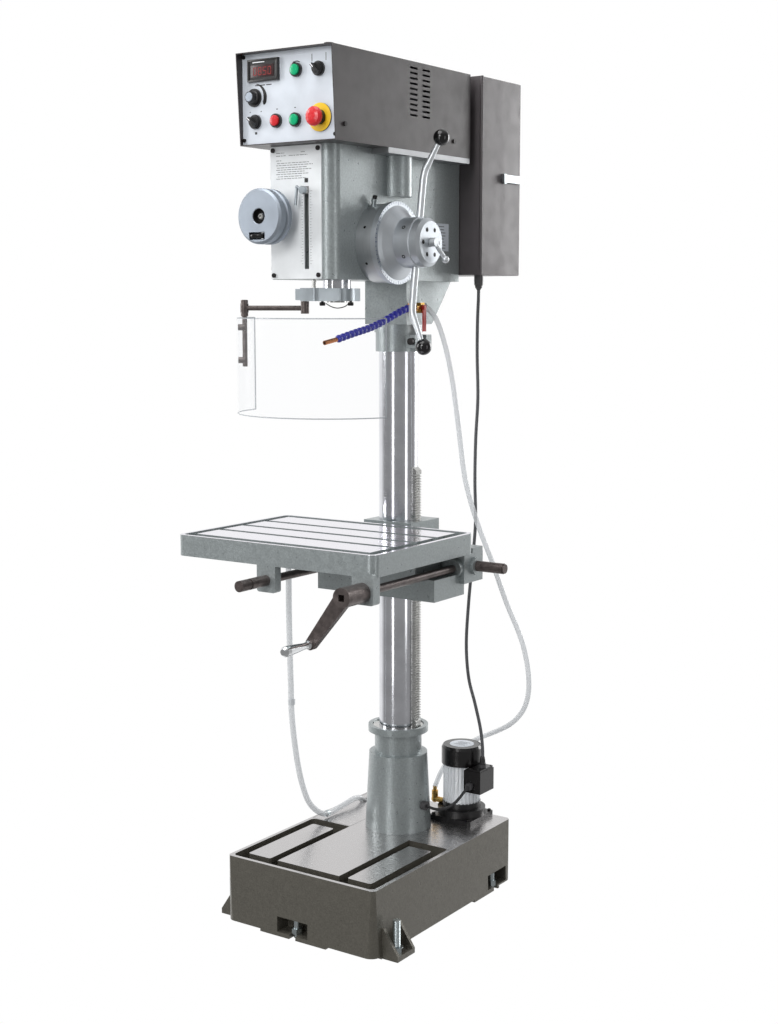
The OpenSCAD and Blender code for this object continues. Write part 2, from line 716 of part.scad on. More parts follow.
module belt_cover() color(dark_sheet) difference() {
    rotate([90, 0, 90]) linear_extrude(cover_w, center = true) cover_profile(0, 0);
    rotate([90, 0, 90]) linear_extrude(cover_w - 2 * sheet, center = true) cover_profile(40, sheet);
    rod_z([0, spin_y, cover_z0 - eps], 42, 10);
    for (k = [0:9], y0 = [-39, 11])
        box([cover_w / 2 - 10, y0, 1831 + k * 11.2], [cover_w / 2 + eps, y0 + 30, 1835.5 + k * 11.2]);
}

module panel_hole(at, r) {
    rod_y([at[0], panel_y - eps, at[1]], r, 4 + eps);
}

module control_panel() color(panel_grey) difference() {
    box([-cover_w / 2 + sheet, panel_y, cover_z0 + sheet], [cover_w / 2 - sheet, panel_y + 2, cover_top - sheet]);
    for (at = [start_at, stop_at, run_at]) panel_hole(at, button_r + run);
    panel_hole(estop_at, 10 + run);
    for (at = [selector_upper_at, selector_lower_at, speed_at]) panel_hole(at, 6 + run);
}

// A flat ring that stands on the panel's face
module panel_ring(at, r_out, r_in, h) {
    translate([at[0], panel_y, at[1]]) rotate([90, 0, 0]) difference() {
        cylinder(r = r_out, h = h);
        translate([0, 0, -eps]) cylinder(r = r_in, h = h + 2 * eps);
    }
}

module bezels() color(black_plastic) {
    // housing of the speed display
    box([-106, panel_y - 6, 1888], [-24, panel_y, 1934]);
    for (at = [start_at, stop_at, run_at]) panel_ring(at, 14.5, button_r + run, 6);
    for (at = [selector_upper_at, selector_lower_at]) panel_ring(at, 15, 6 + run, 5);
    panel_ring(speed_at, 19, 6 + run, 3);
    panel_ring(estop_at, 29, 10 + run, 3);
}

module screws() color(steel) {
    for (x = [-72, 48], z = [1484, 1748]) rod_y([x, head_front - 6, z], 5, 3);
    for (x = [-120, 120], z = [1769, 1941]) rod_y([x, panel_y - 3, z], 4, 3);
    for (y = [-282, 143]) rod_x([cover_w / 2, y, 1791], 5, 3);
    rod_z([100, -300, cover_top], 10, 5);
    rod_y([61, col_y - 44, 1337], 8, 10);
}

module drive_motor() color(cast_grey) difference() {
    union() {
        rod_z([0, 90, 1800], 72, 132);
        rod_z([0, 90, 1792], 40, 9);
        for (s = [-1, 1]) box([s * 62 - 10, 60, cover_z0 + sheet], [s * 62 + 10, 120, 1801]);
    }
    rod_z([0, 90, 1780], 10 + run, 40);
}

module motor_pulley() color(steel) {
    rod_z([0, 90, 1764], 40, 20);
    rod_z([0, 90, 1783], 10, 30);
}

module spindle_pulley() color(steel) difference() {
    rod_z([0, spin_y, 1764], 60, 20);
    rod_z([0, spin_y, 1760], 11 + run, 30);
}

module drive_belt() color(black_plastic) translate([0, 0, 1769]) linear_extrude(10) difference() {
    hull() {
        translate([0, 90]) circle(r = 45);
        translate([0, spin_y]) circle(r = 65);
    }
    hull() {
        translate([0, 90]) circle(r = 40.4);
        translate([0, spin_y]) circle(r = 60.4);
    }
}

module cabinet() color(dark_sheet) difference() {
    union() {
        difference() {
            box([cab_x0, cab_y0, cab_z0], [cab_x1, cab_y1, cover_top]);
            box([cab_x0 + sheet, cab_y0 + sheet, cab_z0 + sheet], [cab_x1 + eps, cab_y1 - sheet, cover_top - sheet]);
        }
        for (z = [cab_z0, cover_top - 20]) {
            rod_z([hinge_x, hinge_y, z], 3.5, 20);
            box([cab_x1 - 6, cab_y0, z], [hinge_x, cab_y0 + 5, z + 20]);
        }
        rod_z([hinge_x, hinge_y, cab_z0 + 1], 1.5, cover_top - cab_z0 - 2);
        // spacers that stand the cabinet off the cover's back
        for (x = [-90, 90], z = [1790, 1910]) rod_y([x, cover_back, z], 12, cab_y0 - cover_back + sheet);
    }
    rod_z([gland_x, gland_y, cab_z0 - eps], 8, 6);
}

module cabinet_door() color(dark_sheet) difference() {
    union() {
        box([cab_x1 + gap, hinge_y, cab_z0 + 1], [cab_x1 + gap + sheet, cab_y1, cover_top - 1]);
        rod_z([hinge_x, hinge_y, cab_z0 + 20 + gap], 3.5, cover_top - cab_z0 - 40 - 2 * gap);
    }
    rod_z([hinge_x, hinge_y, cab_z0 - eps], 1.5 + run, cover_top - cab_z0 + 2 * eps);
    for (z = [cab_z0 - eps, cover_top - 20 - gap])
        box([cab_x1, hinge_y - 5, z], [hinge_x + 5, hinge_y + 6, z + 21 + gap]);
    rod_x([cab_x1, latch_y, latch_z], 5 + run, 10);
}

module door_latch() color(steel) {
    rod_x([cab_x1 - 3, latch_y, latch_z], 5, 12);
    box([cab_x1 - 5, latch_y - 20, latch_z - 5], [cab_x1 - 3 + eps, latch_y + 5, latch_z + 5]);
    rod_x([cab_x1 + sheet + 2 * gap, latch_y, latch_z], 12, 5);
    box([cab_x1 + 6, latch_y - 12, latch_z - 9], [cab_x1 + 12, 425, latch_z + 9]);
}

module cable_glands() color(black_plastic) {
    rod_z([gland_x, gland_y, 1475], 11, cab_z0 - 1475);
    rod_z([172, 217, 304], 9, 8);
    rod_y([156, 177, 262], 9, 8);
    rod_x([76, 97, 224], 11, 12);
}

// ---- Controls ----

module push_button(at) translate([at[0], panel_y + 8, at[1]]) rotate([90, 0, 0]) {
    cylinder(r = button_r, h = 18);
}
module start_button() color([0.05, 0.5, 0.2]) push_button(start_at);
module stop_button() color([0.8, 0.08, 0.06]) push_button(stop_at);
module run_button() color([0.05, 0.5, 0.2]) push_button(run_at);

module estop_button() color([0.8, 0.05, 0.05]) translate([estop_at[0], panel_y + 8, estop_at[1]])
    rotate([90, 0, 0]) rotate_extrude()
        polygon([[0, 0], [10, 0], [10, 25], [19, 27], [20, 30], [19.5, 34], [16, 38], [9, 40.5], [0, 41]]);

module selector(at, turn) translate([at[0], panel_y + 8, at[1]]) rotate([90, 0, 0]) {
    cylinder(r = 6, h = 14);
    translate([0, 0, 13.3]) cylinder(r = 12.5, h = 6);
    rotate([0, 0, turn]) translate([-11.5, -3.5, 19]) cube([23, 7, 10]);
}
module selector_upper() color(black_plastic) selector(selector_upper_at, 170);
module selector_lower() color(black_plastic) selector(selector_lower_at, 215);

module speed_knob() color(black_plastic) translate([speed_at[0], panel_y + 8, speed_at[1]]) rotate([90, 0, 0]) {
    cylinder(r = 6, h = 12);
    translate([0, 0, 11.3]) cylinder(r = 15, h = 5);
    translate([0, 0, 16]) cylinder(r = 12, h = 12);
}

// ---- Coolant ----

module brass_fittings() color(brass) {
    // valve on the neck
    box([66, 76, 1402], [81, 92, 1426]);
    rod_x([58, 84, 1414], 7, 9);
    rod_y([73, 62, 1414], 8, 15);
    rod_y([73, 91, 1418], 5, 10);
    // outlet pipe and elbow of the pump
    rod_x([30, 225, 197], 7, 26);
    translate([30, 225, 197]) sphere(9);
    rod_z([30, 225, 197], 8, 22);
    rod_z([30, 225, 218], 5, 10);
}

module valve_lever() color([0.75, 0.08, 0.08]) {
    rod_x([81 + gap, 84, 1414], 5, 7);
    box([84, 78, 1360], [87, 90, 1421]);
}

module coolant_arm() color([0.15, 0.18, 0.62]) tube(arm_route, 8.5, 3, 12);

module coolant_nozzle() color([0.70, 0.42, 0.22]) {
    // swivel collar at the valve end
    rod_z([73, 51.5, 1404], 9.6, 20);
    difference() {
        bar([48, -208, 1346.3], [45, -247, 1340], 5);
        bar([46.2, -232, 1342.4], [44.8, -250, 1339.5], 3);
    }
}

module pump_base() color(black_plastic) {
    difference() {
        translate([pump_x, pump_y, base_h]) linear_extrude(12) rounded_rect(116, 116, 6);
        for (sx = [-1, 1], sy = [-1, 1]) rod_z([pump_x + sx * 50, pump_y + sy * 50, base_h - eps], 4, 20);
    }
    rod_z([pump_x, pump_y, base_h + 11], 59, 19);
    rod_z([pump_x, pump_y, base_h + 29], 47, 16);
}

module pump_motor() color(steel) translate([pump_x, pump_y, base_h + 45]) linear_extrude(95) {
    circle(r = 42);
    for (a = [0:12:348]) rotate(a) translate([40, -1.2]) square([5.5, 2.4]);
}

module pump_covers() color(black_plastic) {
    translate([pump_x, pump_y, base_h + 140]) rotate_extrude()
        polygon([[0, 0], [50, 0], [50, 40], [46, 47], [0, 47]]);
    difference() {
        box([138, 185, 245], [185, 249, 299]);
        rod_z([pump_x, pump_y, 240], 45.6, 80);
    }
    box([152, 187, 298], [183, 247, 304]);
}

// ---- Cords and hoses ----

module power_cable() color([0.35, 0.35, 0.36]) tube(power_route, 4, 3, 10);
module pump_cable() color(black_plastic) tube(pump_route, 3.5, 2, 8);
module coolant_hose() color(clear_hose) tube(hose_route, 6, 3, 10);
module drain_hose() color(clear_hose) tube(drain_route, 7, 3, 10);

base();
tank_cover();
levelling_bolts();
column_foot();
column();
rack();
head_casting();
front_plate();
belt_cover();
control_panel();
motor_rails();
bezels();
screws();
drive_motor();
motor_pulley();
spindle_pulley();
drive_belt();
cabinet();
cabinet_door();
door_latch();
cable_glands();
quill();
spindle();
quill_collar();
depth_pointer();
depth_lever();
guard_arm();
guard_rod();
guard_shield();
feed_hub();
feed_levers();
ball_knobs();
hub_lever();
fine_feed_wheel();
folding_handle();
table_bracket();
table();
lift_pinion();
crank();
crank_grip();
clamp_rod();
lock_handle();
brass_fittings();
valve_lever();
coolant_arm();
coolant_nozzle();
pump_base();
pump_motor();
pump_covers();
start_button();
stop_button();
run_button();
estop_button();
selector_upper();
selector_lower();
speed_knob();
power_cable();
pump_cable();
coolant_hose();
drain_hose();
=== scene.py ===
import math

import bmesh
import bpy
from mathutils import Matrix, Vector


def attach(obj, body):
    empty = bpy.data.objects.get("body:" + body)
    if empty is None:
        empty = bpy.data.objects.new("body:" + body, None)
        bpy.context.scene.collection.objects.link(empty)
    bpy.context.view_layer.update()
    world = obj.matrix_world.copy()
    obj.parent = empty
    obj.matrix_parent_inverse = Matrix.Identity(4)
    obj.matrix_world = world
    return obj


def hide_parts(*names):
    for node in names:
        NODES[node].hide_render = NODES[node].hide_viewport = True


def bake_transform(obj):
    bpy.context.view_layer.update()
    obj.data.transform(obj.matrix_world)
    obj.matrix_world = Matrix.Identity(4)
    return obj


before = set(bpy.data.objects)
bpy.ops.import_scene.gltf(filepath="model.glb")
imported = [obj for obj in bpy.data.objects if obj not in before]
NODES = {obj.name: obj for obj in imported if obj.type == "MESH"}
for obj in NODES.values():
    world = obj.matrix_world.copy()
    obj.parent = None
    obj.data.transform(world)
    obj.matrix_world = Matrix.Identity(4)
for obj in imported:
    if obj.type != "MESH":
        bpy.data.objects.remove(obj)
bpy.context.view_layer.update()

MM = 0.001
X_AXIS, Y_AXIS, Z_AXIS = Vector((1, 0, 0)), Vector((0, 1, 0)), Vector((0, 0, 1))

# Places that several parts share, in millimetres
FEED_Y, FEED_Z = -101, 1554             # axis of the downfeed hub
PANEL_Y = -306                          # face of the control panel
PLATE_Y = -270                          # face of the front plate
SPEED_X, SPEED_Z = -92, 1856            # axis of the speed knob
ESTOP_X, ESTOP_Z = 82, 1805             # axis of the emergency stop


def mm(*values):
    """A point given in millimetres, in metres."""
    return Vector(values) * MM


def linear(r, g, b):
    """An sRGB colour of 0 to 255 as linear values."""
    def one(c):
        c /= 255
        return c / 12.92 if c <= 0.04045 else ((c + 0.055) / 1.055) ** 2.4
    return one(r), one(g), one(b), 1.0


# ---------------------------------------------------------------- camera and light

CAMERA_LENS = 54.5                      # mm, on a 36 mm sensor
CAMERA_PLACE = (2.0453, -2.9355, 1.4239)
CAMERA_AZIMUTH, CAMERA_DIP = 34.28, 7.66    # degrees


def make_camera():
    data = bpy.data.cameras.new("camera")
    data.sensor_width = 36
    data.lens = CAMERA_LENS
    data.clip_end = 50
    camera = bpy.data.objects.new("camera", data)
    bpy.context.scene.collection.objects.link(camera)
    heading = Matrix.Rotation(math.radians(CAMERA_AZIMUTH), 4, "Z")
    tilt = Matrix.Rotation(math.radians(90 - CAMERA_DIP), 4, "X")
    camera.matrix_world = Matrix.Translation(CAMERA_PLACE) @ (heading @ tilt)
    bpy.context.scene.camera = camera


def area_light(name, place, aim, size, power, colour=(1, 1, 1)):
    data = bpy.data.lights.new(name, "AREA")
    data.shape = "RECTANGLE"
    data.size, data.size_y = size
    data.energy = power
    data.color = colour
    light = bpy.data.objects.new(name, data)
    light.location = place
    light.rotation_euler = (Vector(aim) - Vector(place)).to_track_quat("-Z", "Y").to_euler()
    bpy.context.scene.collection.objects.link(light)


def world_node(tree, kind, **values):
    made = tree.nodes.new(kind)
    for key, value in values.items():
        setattr(made, key, value)
    return made


def world_ramp(tree, value, low, high, dark, light):
    made = world_node(tree, "ShaderNodeMapRange", interpolation_type="SMOOTHSTEP")
    for key, number in (("From Min", low), ("From Max", high), ("To Min", dark),
                        ("To Max", light)):
        made.inputs[key].default_value = number
    tree.links.new(value, made.inputs["Value"])
    return made.outputs["Result"]


def room_level(tree):
    """Brightness by direction: a sweep behind the part, a lit ceiling and a dim floor."""
    coord = world_node(tree, "ShaderNodeTexCoord")
    behind = world_node(tree, "ShaderNodeVectorMath", operation="DOT_PRODUCT")
    behind.inputs[1].default_value = (-0.56, 0.82, 0.0)
    split = world_node(tree, "ShaderNodeSeparateXYZ")
    tree.links.new(coord.outputs["Generated"], behind.inputs[0])
    tree.links.new(coord.outputs["Generated"], split.inputs[0])
    level = world_ramp(tree, behind.outputs["Value"], 0.0, 0.6, 0.38, 1.25)
    top = world_ramp(tree, split.outputs["Z"], 0.35, 0.9, 0.0, 0.85)
    floor = world_ramp(tree, split.outputs["Z"], -0.7, -0.15, 0.42, 0.0)
    for other in (top, floor):
        highest = world_node(tree, "ShaderNodeMath", operation="MAXIMUM")
        tree.links.new(level, highest.inputs[0])
        tree.links.new(other, highest.inputs[1])
        level = highest.outputs[0]
    return level


def make_world():
    """White to the camera; to everything else, a bright sweep and a dim room in front."""
    world = bpy.data.worlds.new("studio")
    bpy.context.scene.world = world
    world.use_nodes = True
    tree = world.node_tree
    tree.nodes.clear()
    studio = world_node(tree, "ShaderNodeBackground")
    tree.links.new(room_level(tree), studio.inputs["Color"])
    studio.inputs["Strength"].default_value = 0.8
    seen = world_node(tree, "ShaderNodeBackground")
    seen.inputs["Color"].default_value = (1, 1, 1, 1)
    path = world_node(tree, "ShaderNodeLightPath")
    mix = world_node(tree, "ShaderNodeMixShader")
    out = world_node(tree, "ShaderNodeOutputWorld")
    tree.links.new(path.outputs["Is Camera Ray"], mix.inputs["Fac"])
    tree.links.new(studio.outputs[0], mix.inputs[1])
    tree.links.new(seen.outputs[0], mix.inputs[2])
    tree.links.new(mix.outputs[0], out.inputs["Surface"])


def make_light():
    make_world()
    area_light("key", (-3.7, -2.3, 2.6), (0, 0, 1.1), (1.5, 2.8), 95)
    area_light("front", (0.6, -4.6, 3.4), (0, 0, 1.4), (1.6, 1.6), 70)
    area_light("strip_right", (3.9, -0.5, 1.2), (0, 0, 1.1), (0.8, 2.8), 15)
    area_light("rim", (0.9, 3.6, 1.6), (0, 0, 1.1), (1.0, 2.2), 26)
    area_light("right_rear", (1.8, 4.3, 2.2), (0.1, 0.2, 1.6), (1.1, 2.2), 36)
    area_light("strip_front", (0.1, -4.2, 0.9), (0, 0, 0.9), (0.6, 2.8), 24)
    area_light("top", (-0.3, -1.2, 4.0), (0, 0, 1.0), (2.4, 2.0), 48)
    view = bpy.context.scene.view_settings
    view.view_transform = "Standard"
    view.look = "None"


make_camera()
make_light()


# ---------------------------------------------------------------- materials

class Shader:
    """A small builder round one Principled material in the object's own coordinates."""

    def __init__(self, name, colour, metallic=0.0, roughness=0.5, **values):
        self.material = bpy.data.materials.new(name)
        self.material.use_nodes = True
        self.material.diffuse_color = colour
        self.tree = self.material.node_tree
        self.main = self.tree.nodes["Principled BSDF"]
        self.colour = colour
        self.set("Base Color", colour)
        self.set("Metallic", metallic)
        self.set("Roughness", roughness)
        for key, value in values.items():
            self.set(key.replace("_", " "), value)
        self.coord = self.tree.nodes.new("ShaderNodeTexCoord")

    def set(self, socket, value):
        self.main.inputs[socket].default_value = value

    def link(self, a, b):
        self.tree.links.new(a, b)

    def scaled(self, scale):
        mapping = self.tree.nodes.new("ShaderNodeMapping")
        mapping.inputs["Scale"].default_value = scale
        self.link(self.coord.outputs["Object"], mapping.inputs["Vector"])
        return mapping.outputs["Vector"]

    def noise(self, size, detail=3.0, stretch=(1, 1, 1), distortion=0.0):
        """Noise with features of about this size in metres."""
        node = self.tree.nodes.new("ShaderNodeTexNoise")
        node.inputs["Scale"].default_value = 1.0
        node.inputs["Detail"].default_value = detail
        node.inputs["Distortion"].default_value = distortion
        self.link(self.scaled([s / size for s in stretch]), node.inputs["Vector"])
        return node.outputs["Fac"]

    def band(self, value, low, high, a, b):
        """value from low..high mapped to a..b."""
        node = self.tree.nodes.new("ShaderNodeMapRange")
        node.inputs["From Min"].default_value = low
        node.inputs["From Max"].default_value = high
        node.inputs["To Min"].default_value = a
        node.inputs["To Max"].default_value = b
        self.link(value, node.inputs["Value"])
        return node.outputs["Result"]

    def two_tone(self, fac, a, b, low=0.35, high=0.65):
        ramp = self.tree.nodes.new("ShaderNodeValToRGB")
        ramp.color_ramp.elements[0].position, ramp.color_ramp.elements[0].color = low, a
        ramp.color_ramp.elements[1].position, ramp.color_ramp.elements[1].color = high, b
        self.link(fac, ramp.inputs["Fac"])
        return ramp.outputs["Color"]

    def tint(self, fac, spread=0.12):
        """Base colour that varies a little round the material's own."""
        dark = tuple(c * (1 - spread) for c in self.colour[:3]) + (1,)
        light = tuple(min(1, c * (1 + spread)) for c in self.colour[:3]) + (1,)
        self.link(self.two_tone(fac, dark, light), self.main.inputs["Base Color"])

    def bump(self, height, distance, strength=1.0):
        node = self.tree.nodes.new("ShaderNodeBump")
        node.inputs["Distance"].default_value = distance
        node.inputs["Strength"].default_value = strength
        self.link(height, node.inputs["Height"])
        self.link(node.outputs["Normal"], self.main.inputs["Normal"])

    def rough(self, fac, a, b):
        self.link(self.band(fac, 0.3, 0.7, a, b), self.main.inputs["Roughness"])

    def axes(self):
        """The object's own coordinates, apart."""
        split = self.tree.nodes.new("ShaderNodeSeparateXYZ")
        self.link(self.coord.outputs["Object"], split.inputs[0])
        return split.outputs

    def math(self, operation, value, other):
        """A maths node; the second operand is a socket or a number."""
        node = self.tree.nodes.new("ShaderNodeMath")
        node.operation = operation
        self.link(value, node.inputs[0])
        if isinstance(other, (int, float)):
            node.inputs[1].default_value = other
        else:
            self.link(other, node.inputs[1])
        return node.outputs[0]

    def bare_metal(self, colour, marks, shade, smooth, dull):
        """A second, bright surface for the places where the paint is machined away."""
        bright = self.tree.nodes.new("ShaderNodeBsdfPrincipled")
        bright.inputs["Metallic"].default_value = 1.0
        dark = tuple(c * shade for c in colour[:3]) + (1,)
        self.link(self.two_tone(marks, dark, colour), bright.inputs["Base Color"])
        self.link(self.band(marks, 0.3, 0.7, smooth, dull), bright.inputs["Roughness"])
        return bright.outputs[0]

    def mix(self, fac, first, second):
        """The material's surface: the first one where fac is 0, the second where it is 1."""
        node = self.tree.nodes.new("ShaderNodeMixShader")
        self.link(fac, node.inputs["Fac"])
        self.link(first, node.inputs[1])
        self.link(second, node.inputs[2])
        self.link(node.outputs[0], self.tree.nodes["Material Output"].inputs["Surface"])


def hammered(name, colour):
    """Hammered paint on a casting: one speckle gives its colour and relief."""
    s = Shader(name, colour, metallic=0.55, roughness=0.36, Coat_Weight=0.2, Coat_Roughness=0.2)
    fine = s.noise(0.0038, 3)
    s.tint(fine, 0.10)
    s.bump(fine, 0.0009, 0.32)
    s.rough(s.noise(0.012, 4), 0.27, 0.46)
    return s


def casting_with_boss(name, colour, metal, axis_y, axis_z, face_x, radius):
    """Hammered casting whose round feed boss is turned bright."""
    s = hammered(name, colour)
    x, y, z = s.axes()
    place = s.tree.nodes.new("ShaderNodeCombineXYZ")
    s.link(y, place.inputs["X"])
    s.link(z, place.inputs["Y"])
    reach = s.tree.nodes.new("ShaderNodeVectorMath")
    reach.operation = "DISTANCE"
    reach.inputs[1].default_value = (axis_y, axis_z, 0)
    s.link(place.outputs[0], reach.inputs[0])
    near = s.math("LESS_THAN", reach.outputs["Value"], radius)
    proud = s.math("GREATER_THAN", x, face_x)
    marks = s.noise(0.02, 2, (40.0, 0.5, 0.5))
    bright = s.bare_metal(metal, marks, 0.9, 0.30, 0.42)
    s.mix(s.math("MULTIPLY", near, proud), s.main.outputs[0], bright)
    return s.material


def powder_coat(name, colour, speckle=0.0011, strength=0.35, roughness=0.42):
    s = Shader(name, colour, metallic=0.1, roughness=roughness, Coat_Weight=0.1)
    s.tint(s.noise(0.08, 4), 0.08)
    s.bump(s.noise(speckle, 2), 0.00025, strength)
    s.rough(s.noise(0.03), roughness - 0.05, roughness + 0.07)
    return s.material


def turned_metal(name, colour, axis, roughness=0.26, strength=0.16, metallic=1.0):
    """Metal with fine tool marks round an axis: noise squeezed along it."""
    s = Shader(name, colour, metallic=metallic, roughness=roughness)
    squeeze = [60.0 if i == axis else 0.6 for i in range(3)]
    marks = s.noise(0.02, 2, squeeze)
    s.bump(marks, 0.0001, strength)
    s.tint(s.noise(0.06, 3), 0.06)
    s.rough(marks, roughness - 0.07, roughness + 0.09)
    return s.material


def polished(name, colour, roughness=0.09):
    s = Shader(name, colour, metallic=1.0, roughness=roughness)
    s.rough(s.noise(0.012, 4), roughness, roughness + 0.07)
    s.bump(s.noise(0.03, 2), 0.0002, 0.05)
    s.tint(s.noise(0.04), 0.04)
    return s.material


def oxide_steel(name, colour):
    s = Shader(name, colour, metallic=0.75, roughness=0.34)
    s.tint(s.noise(0.015, 6), 0.22)
    s.bump(s.noise(0.0016, 3), 0.0002, 0.35)
    s.rough(s.noise(0.01, 4), 0.26, 0.46)
    return s.material


def plastic(name, colour, roughness=0.3, speckle=0.0009, strength=0.12):
    s = Shader(name, colour, roughness=roughness, Coat_Weight=0.1)
    s.tint(s.noise(0.03), 0.05)
    s.bump(s.noise(speckle, 2), 0.0001, strength)
    s.rough(s.noise(0.01), roughness - 0.04, roughness + 0.06)
    return s.material


def machined_top(name, colour, z, ground, roughness=0.2):
    """Painted casting whose faces above height z are ground bright."""
    s = hammered(name, colour)
    above = s.math("GREATER_THAN", s.axes()["Z"], z)
    marks = s.noise(0.02, 3, (0.8, 24.0, 1.0))
    bright = s.bare_metal(ground, marks, 0.93, roughness - 0.04, roughness + 0.08)
    s.mix(above, s.main.outputs[0], bright)
    return s.material


def clear_plastic(name, colour, skin, tint, roughness=0.05):
    """Clear sheet or tube: see-through, with a thin skin that reflects and shows at a slant."""
    s = Shader(name, colour, roughness=roughness)
    s.rough(s.noise(0.05, 3), roughness, roughness + 0.06)
    s.tint(s.noise(0.08), 0.02)
    s.bump(s.noise(0.06, 2), 0.0002, 0.1)
    through = s.tree.nodes.new("ShaderNodeBsdfTransparent")
    through.inputs["Color"].default_value = tint
    slant = s.tree.nodes.new("ShaderNodeLayerWeight")
    slant.inputs["Blend"].default_value = 0.12
    skin_share = s.band(slant.outputs["Facing"], 0.0, 1.0, skin[0], skin[1])
    s.mix(skin_share, through.outputs[0], s.main.outputs[0])
    return s.material


CASTING = linear(156, 163, 164)
PAINT = hammered("casting_paint", CASTING).material
HEAD = casting_with_boss("head_paint", CASTING, linear(188, 191, 194), FEED_Y * MM,
                         FEED_Z * MM, face_x=0.0838, radius=0.0885)
RAIL = turned_metal("machined_rail", linear(156, 158, 160), 1, 0.46, 0.08)
COVER = powder_coat("cover_paint", linear(52, 47, 48), 0.0022, 0.5, 0.42)
PANEL = powder_coat("panel_paint", linear(206, 212, 220), 0.0009, 0.06, 0.38)
PLATE = powder_coat("front_plate_face", linear(234, 237, 239), 0.0009, 0.05, 0.34)
COLUMN = turned_metal("ground_column", linear(220, 221, 226), 2, 0.13, 0.08)
STEEL = turned_metal("ground_steel", linear(190, 190, 188), 2, 0.24, 0.18)
ALUMINIUM_X = turned_metal("turned_aluminium_x", linear(190, 195, 200), 0, 0.36, 0.05)
# Front-facing aluminium, painted darker than the X and Z copies as painted shade
ALUMINIUM_Y_PAINTED_SHADE = turned_metal("turned_aluminium_y_painted_shade", linear(160, 168, 178), 1, 0.48, 0.05)
ALUMINIUM_Z = turned_metal("turned_aluminium_z", linear(190, 194, 198), 2, 0.38, 0.06)
CHROME = polished("chrome", linear(225, 227, 229))
LEVER = polished("lever_chrome", linear(208, 212, 215), 0.42)
ZINC = polished("zinc", linear(180, 188, 190), 0.26)
OXIDE = oxide_steel("black_oxide", linear(98, 90, 88))
SCREW = oxide_steel("screw_black", linear(46, 44, 44))
BLACK = plastic("black_plastic", linear(26, 25, 26), 0.36)
BLACK_GLOSS = plastic("black_gloss", linear(12, 12, 13), 0.10, strength=0.04)
RUBBER = plastic("rubber", linear(38, 38, 40), 0.55, 0.0012, 0.25)
CABLE = plastic("cable_sheath", linear(84, 85, 88), 0.42, 0.0012, 0.2)
GLAND = plastic("gland_grey", linear(70, 69, 71), 0.4)
CABINET = powder_coat("cabinet_paint", linear(82, 77, 79), 0.0022, 0.5, 0.42)
MILLED = turned_metal("milled_collar", linear(160, 167, 172), 1, 0.4, 0.10)
RED = plastic("red_plastic", linear(206, 40, 46), 0.25, strength=0.05)
RED_PAINT = plastic("red_dip", linear(176, 34, 30), 0.34)
GREEN = plastic("green_plastic", linear(0, 168, 112), 0.22, strength=0.05)
YELLOW = plastic("yellow_plastic", linear(232, 190, 30), 0.4)
WHITE = plastic("white_mark", linear(236, 238, 240), 0.5)
INK = plastic("ink", linear(52, 52, 56), 0.6)
INK_BLUE = plastic("ink_blue", linear(58, 74, 120), 0.6)
BLUE = plastic("blue_plastic", linear(36, 38, 158), 0.3)
BRASS = polished("brass", linear(202, 164, 96), 0.2)
COPPER = polished("copper", linear(196, 128, 82), 0.22)
GUARD = clear_plastic("clear_guard", linear(238, 241, 243), (0.008, 0.15),
                      (0.992, 0.994, 0.996, 1))
GUARD_EDGE = clear_plastic("clear_guard_edge", linear(176, 180, 184), (0.55, 0.9),
                           (0.85, 0.87, 0.88, 1))
HOSE = clear_plastic("clear_hose", linear(232, 234, 236), (0.5, 1.0), (0.93, 0.94, 0.95, 1),
                     0.16)
SMOKED = plastic("display_glass", linear(44, 16, 18), 0.34, strength=0.02)
TABLE = machined_top("table_casting", CASTING, 0.9146, linear(232, 230, 238), 0.12)
BASE_PAINT = linear(106, 103, 95)
BASE = machined_top("base_casting", BASE_PAINT, 0.1596, linear(196, 194, 194), 0.24)
COVER_PLATE = machined_top("cover_plate_casting", BASE_PAINT, 0.1596, linear(196, 194, 194),
                           0.24)


def led_material():
    s = Shader("led_red", linear(120, 18, 18), roughness=0.5, Emission_Strength=0.12)
    s.set("Emission Color", linear(230, 40, 30))
    s.tint(s.noise(0.01), 0.1)
    return s.material


LED = led_material()

NODE_MATERIALS = {
    "base": BASE, "tank_cover": COVER_PLATE, "table": TABLE,
    "levelling_bolts": ZINC, "column_foot": PAINT, "motor_rails": RAIL, "column": COLUMN,
    "rack": STEEL,
    "head_casting": HEAD, "front_plate": PLATE, "belt_cover": COVER, "control_panel": PANEL,
    "bezels": BLACK, "screws": SCREW, "drive_motor": PAINT,
    "motor_pulley": ALUMINIUM_Z, "spindle_pulley": ALUMINIUM_Z, "drive_belt": RUBBER,
    "cabinet": CABINET, "cabinet_door": CABINET, "door_latch": ZINC, "cable_glands": GLAND,
    "quill": COLUMN, "spindle": STEEL, "quill_collar": MILLED, "depth_pointer": STEEL,
    "depth_lever": MILLED, "guard_arm": OXIDE, "guard_rod": OXIDE, "guard_shield": GUARD,
    "feed_hub": ALUMINIUM_X, "feed_levers": LEVER, "ball_knobs": BLACK_GLOSS,
    "hub_lever": LEVER,
    "fine_feed_wheel": ALUMINIUM_Y_PAINTED_SHADE, "folding_handle": BLACK_GLOSS, "table_bracket": PAINT,
    "lift_pinion": STEEL, "crank": OXIDE, "crank_grip": CHROME, "clamp_rod": OXIDE,
    "lock_handle": OXIDE, "brass_fittings": BRASS, "valve_lever": RED_PAINT,
    "coolant_arm": BLUE, "coolant_nozzle": COPPER, "pump_base": BLACK,
    "pump_motor": powder_coat("pump_paint", linear(240, 243, 246), 0.0009, 0.1, 0.32),
    "pump_covers": plastic("pump_black", linear(18, 16, 17), 0.2, strength=0.06),
    "start_button": GREEN, "stop_button": RED, "run_button": GREEN, "estop_button": RED,
    "selector_upper": BLACK, "selector_lower": BLACK, "speed_knob": BLACK,
    "power_cable": CABLE, "pump_cable": RUBBER, "coolant_hose": HOSE, "drain_hose": HOSE,
}


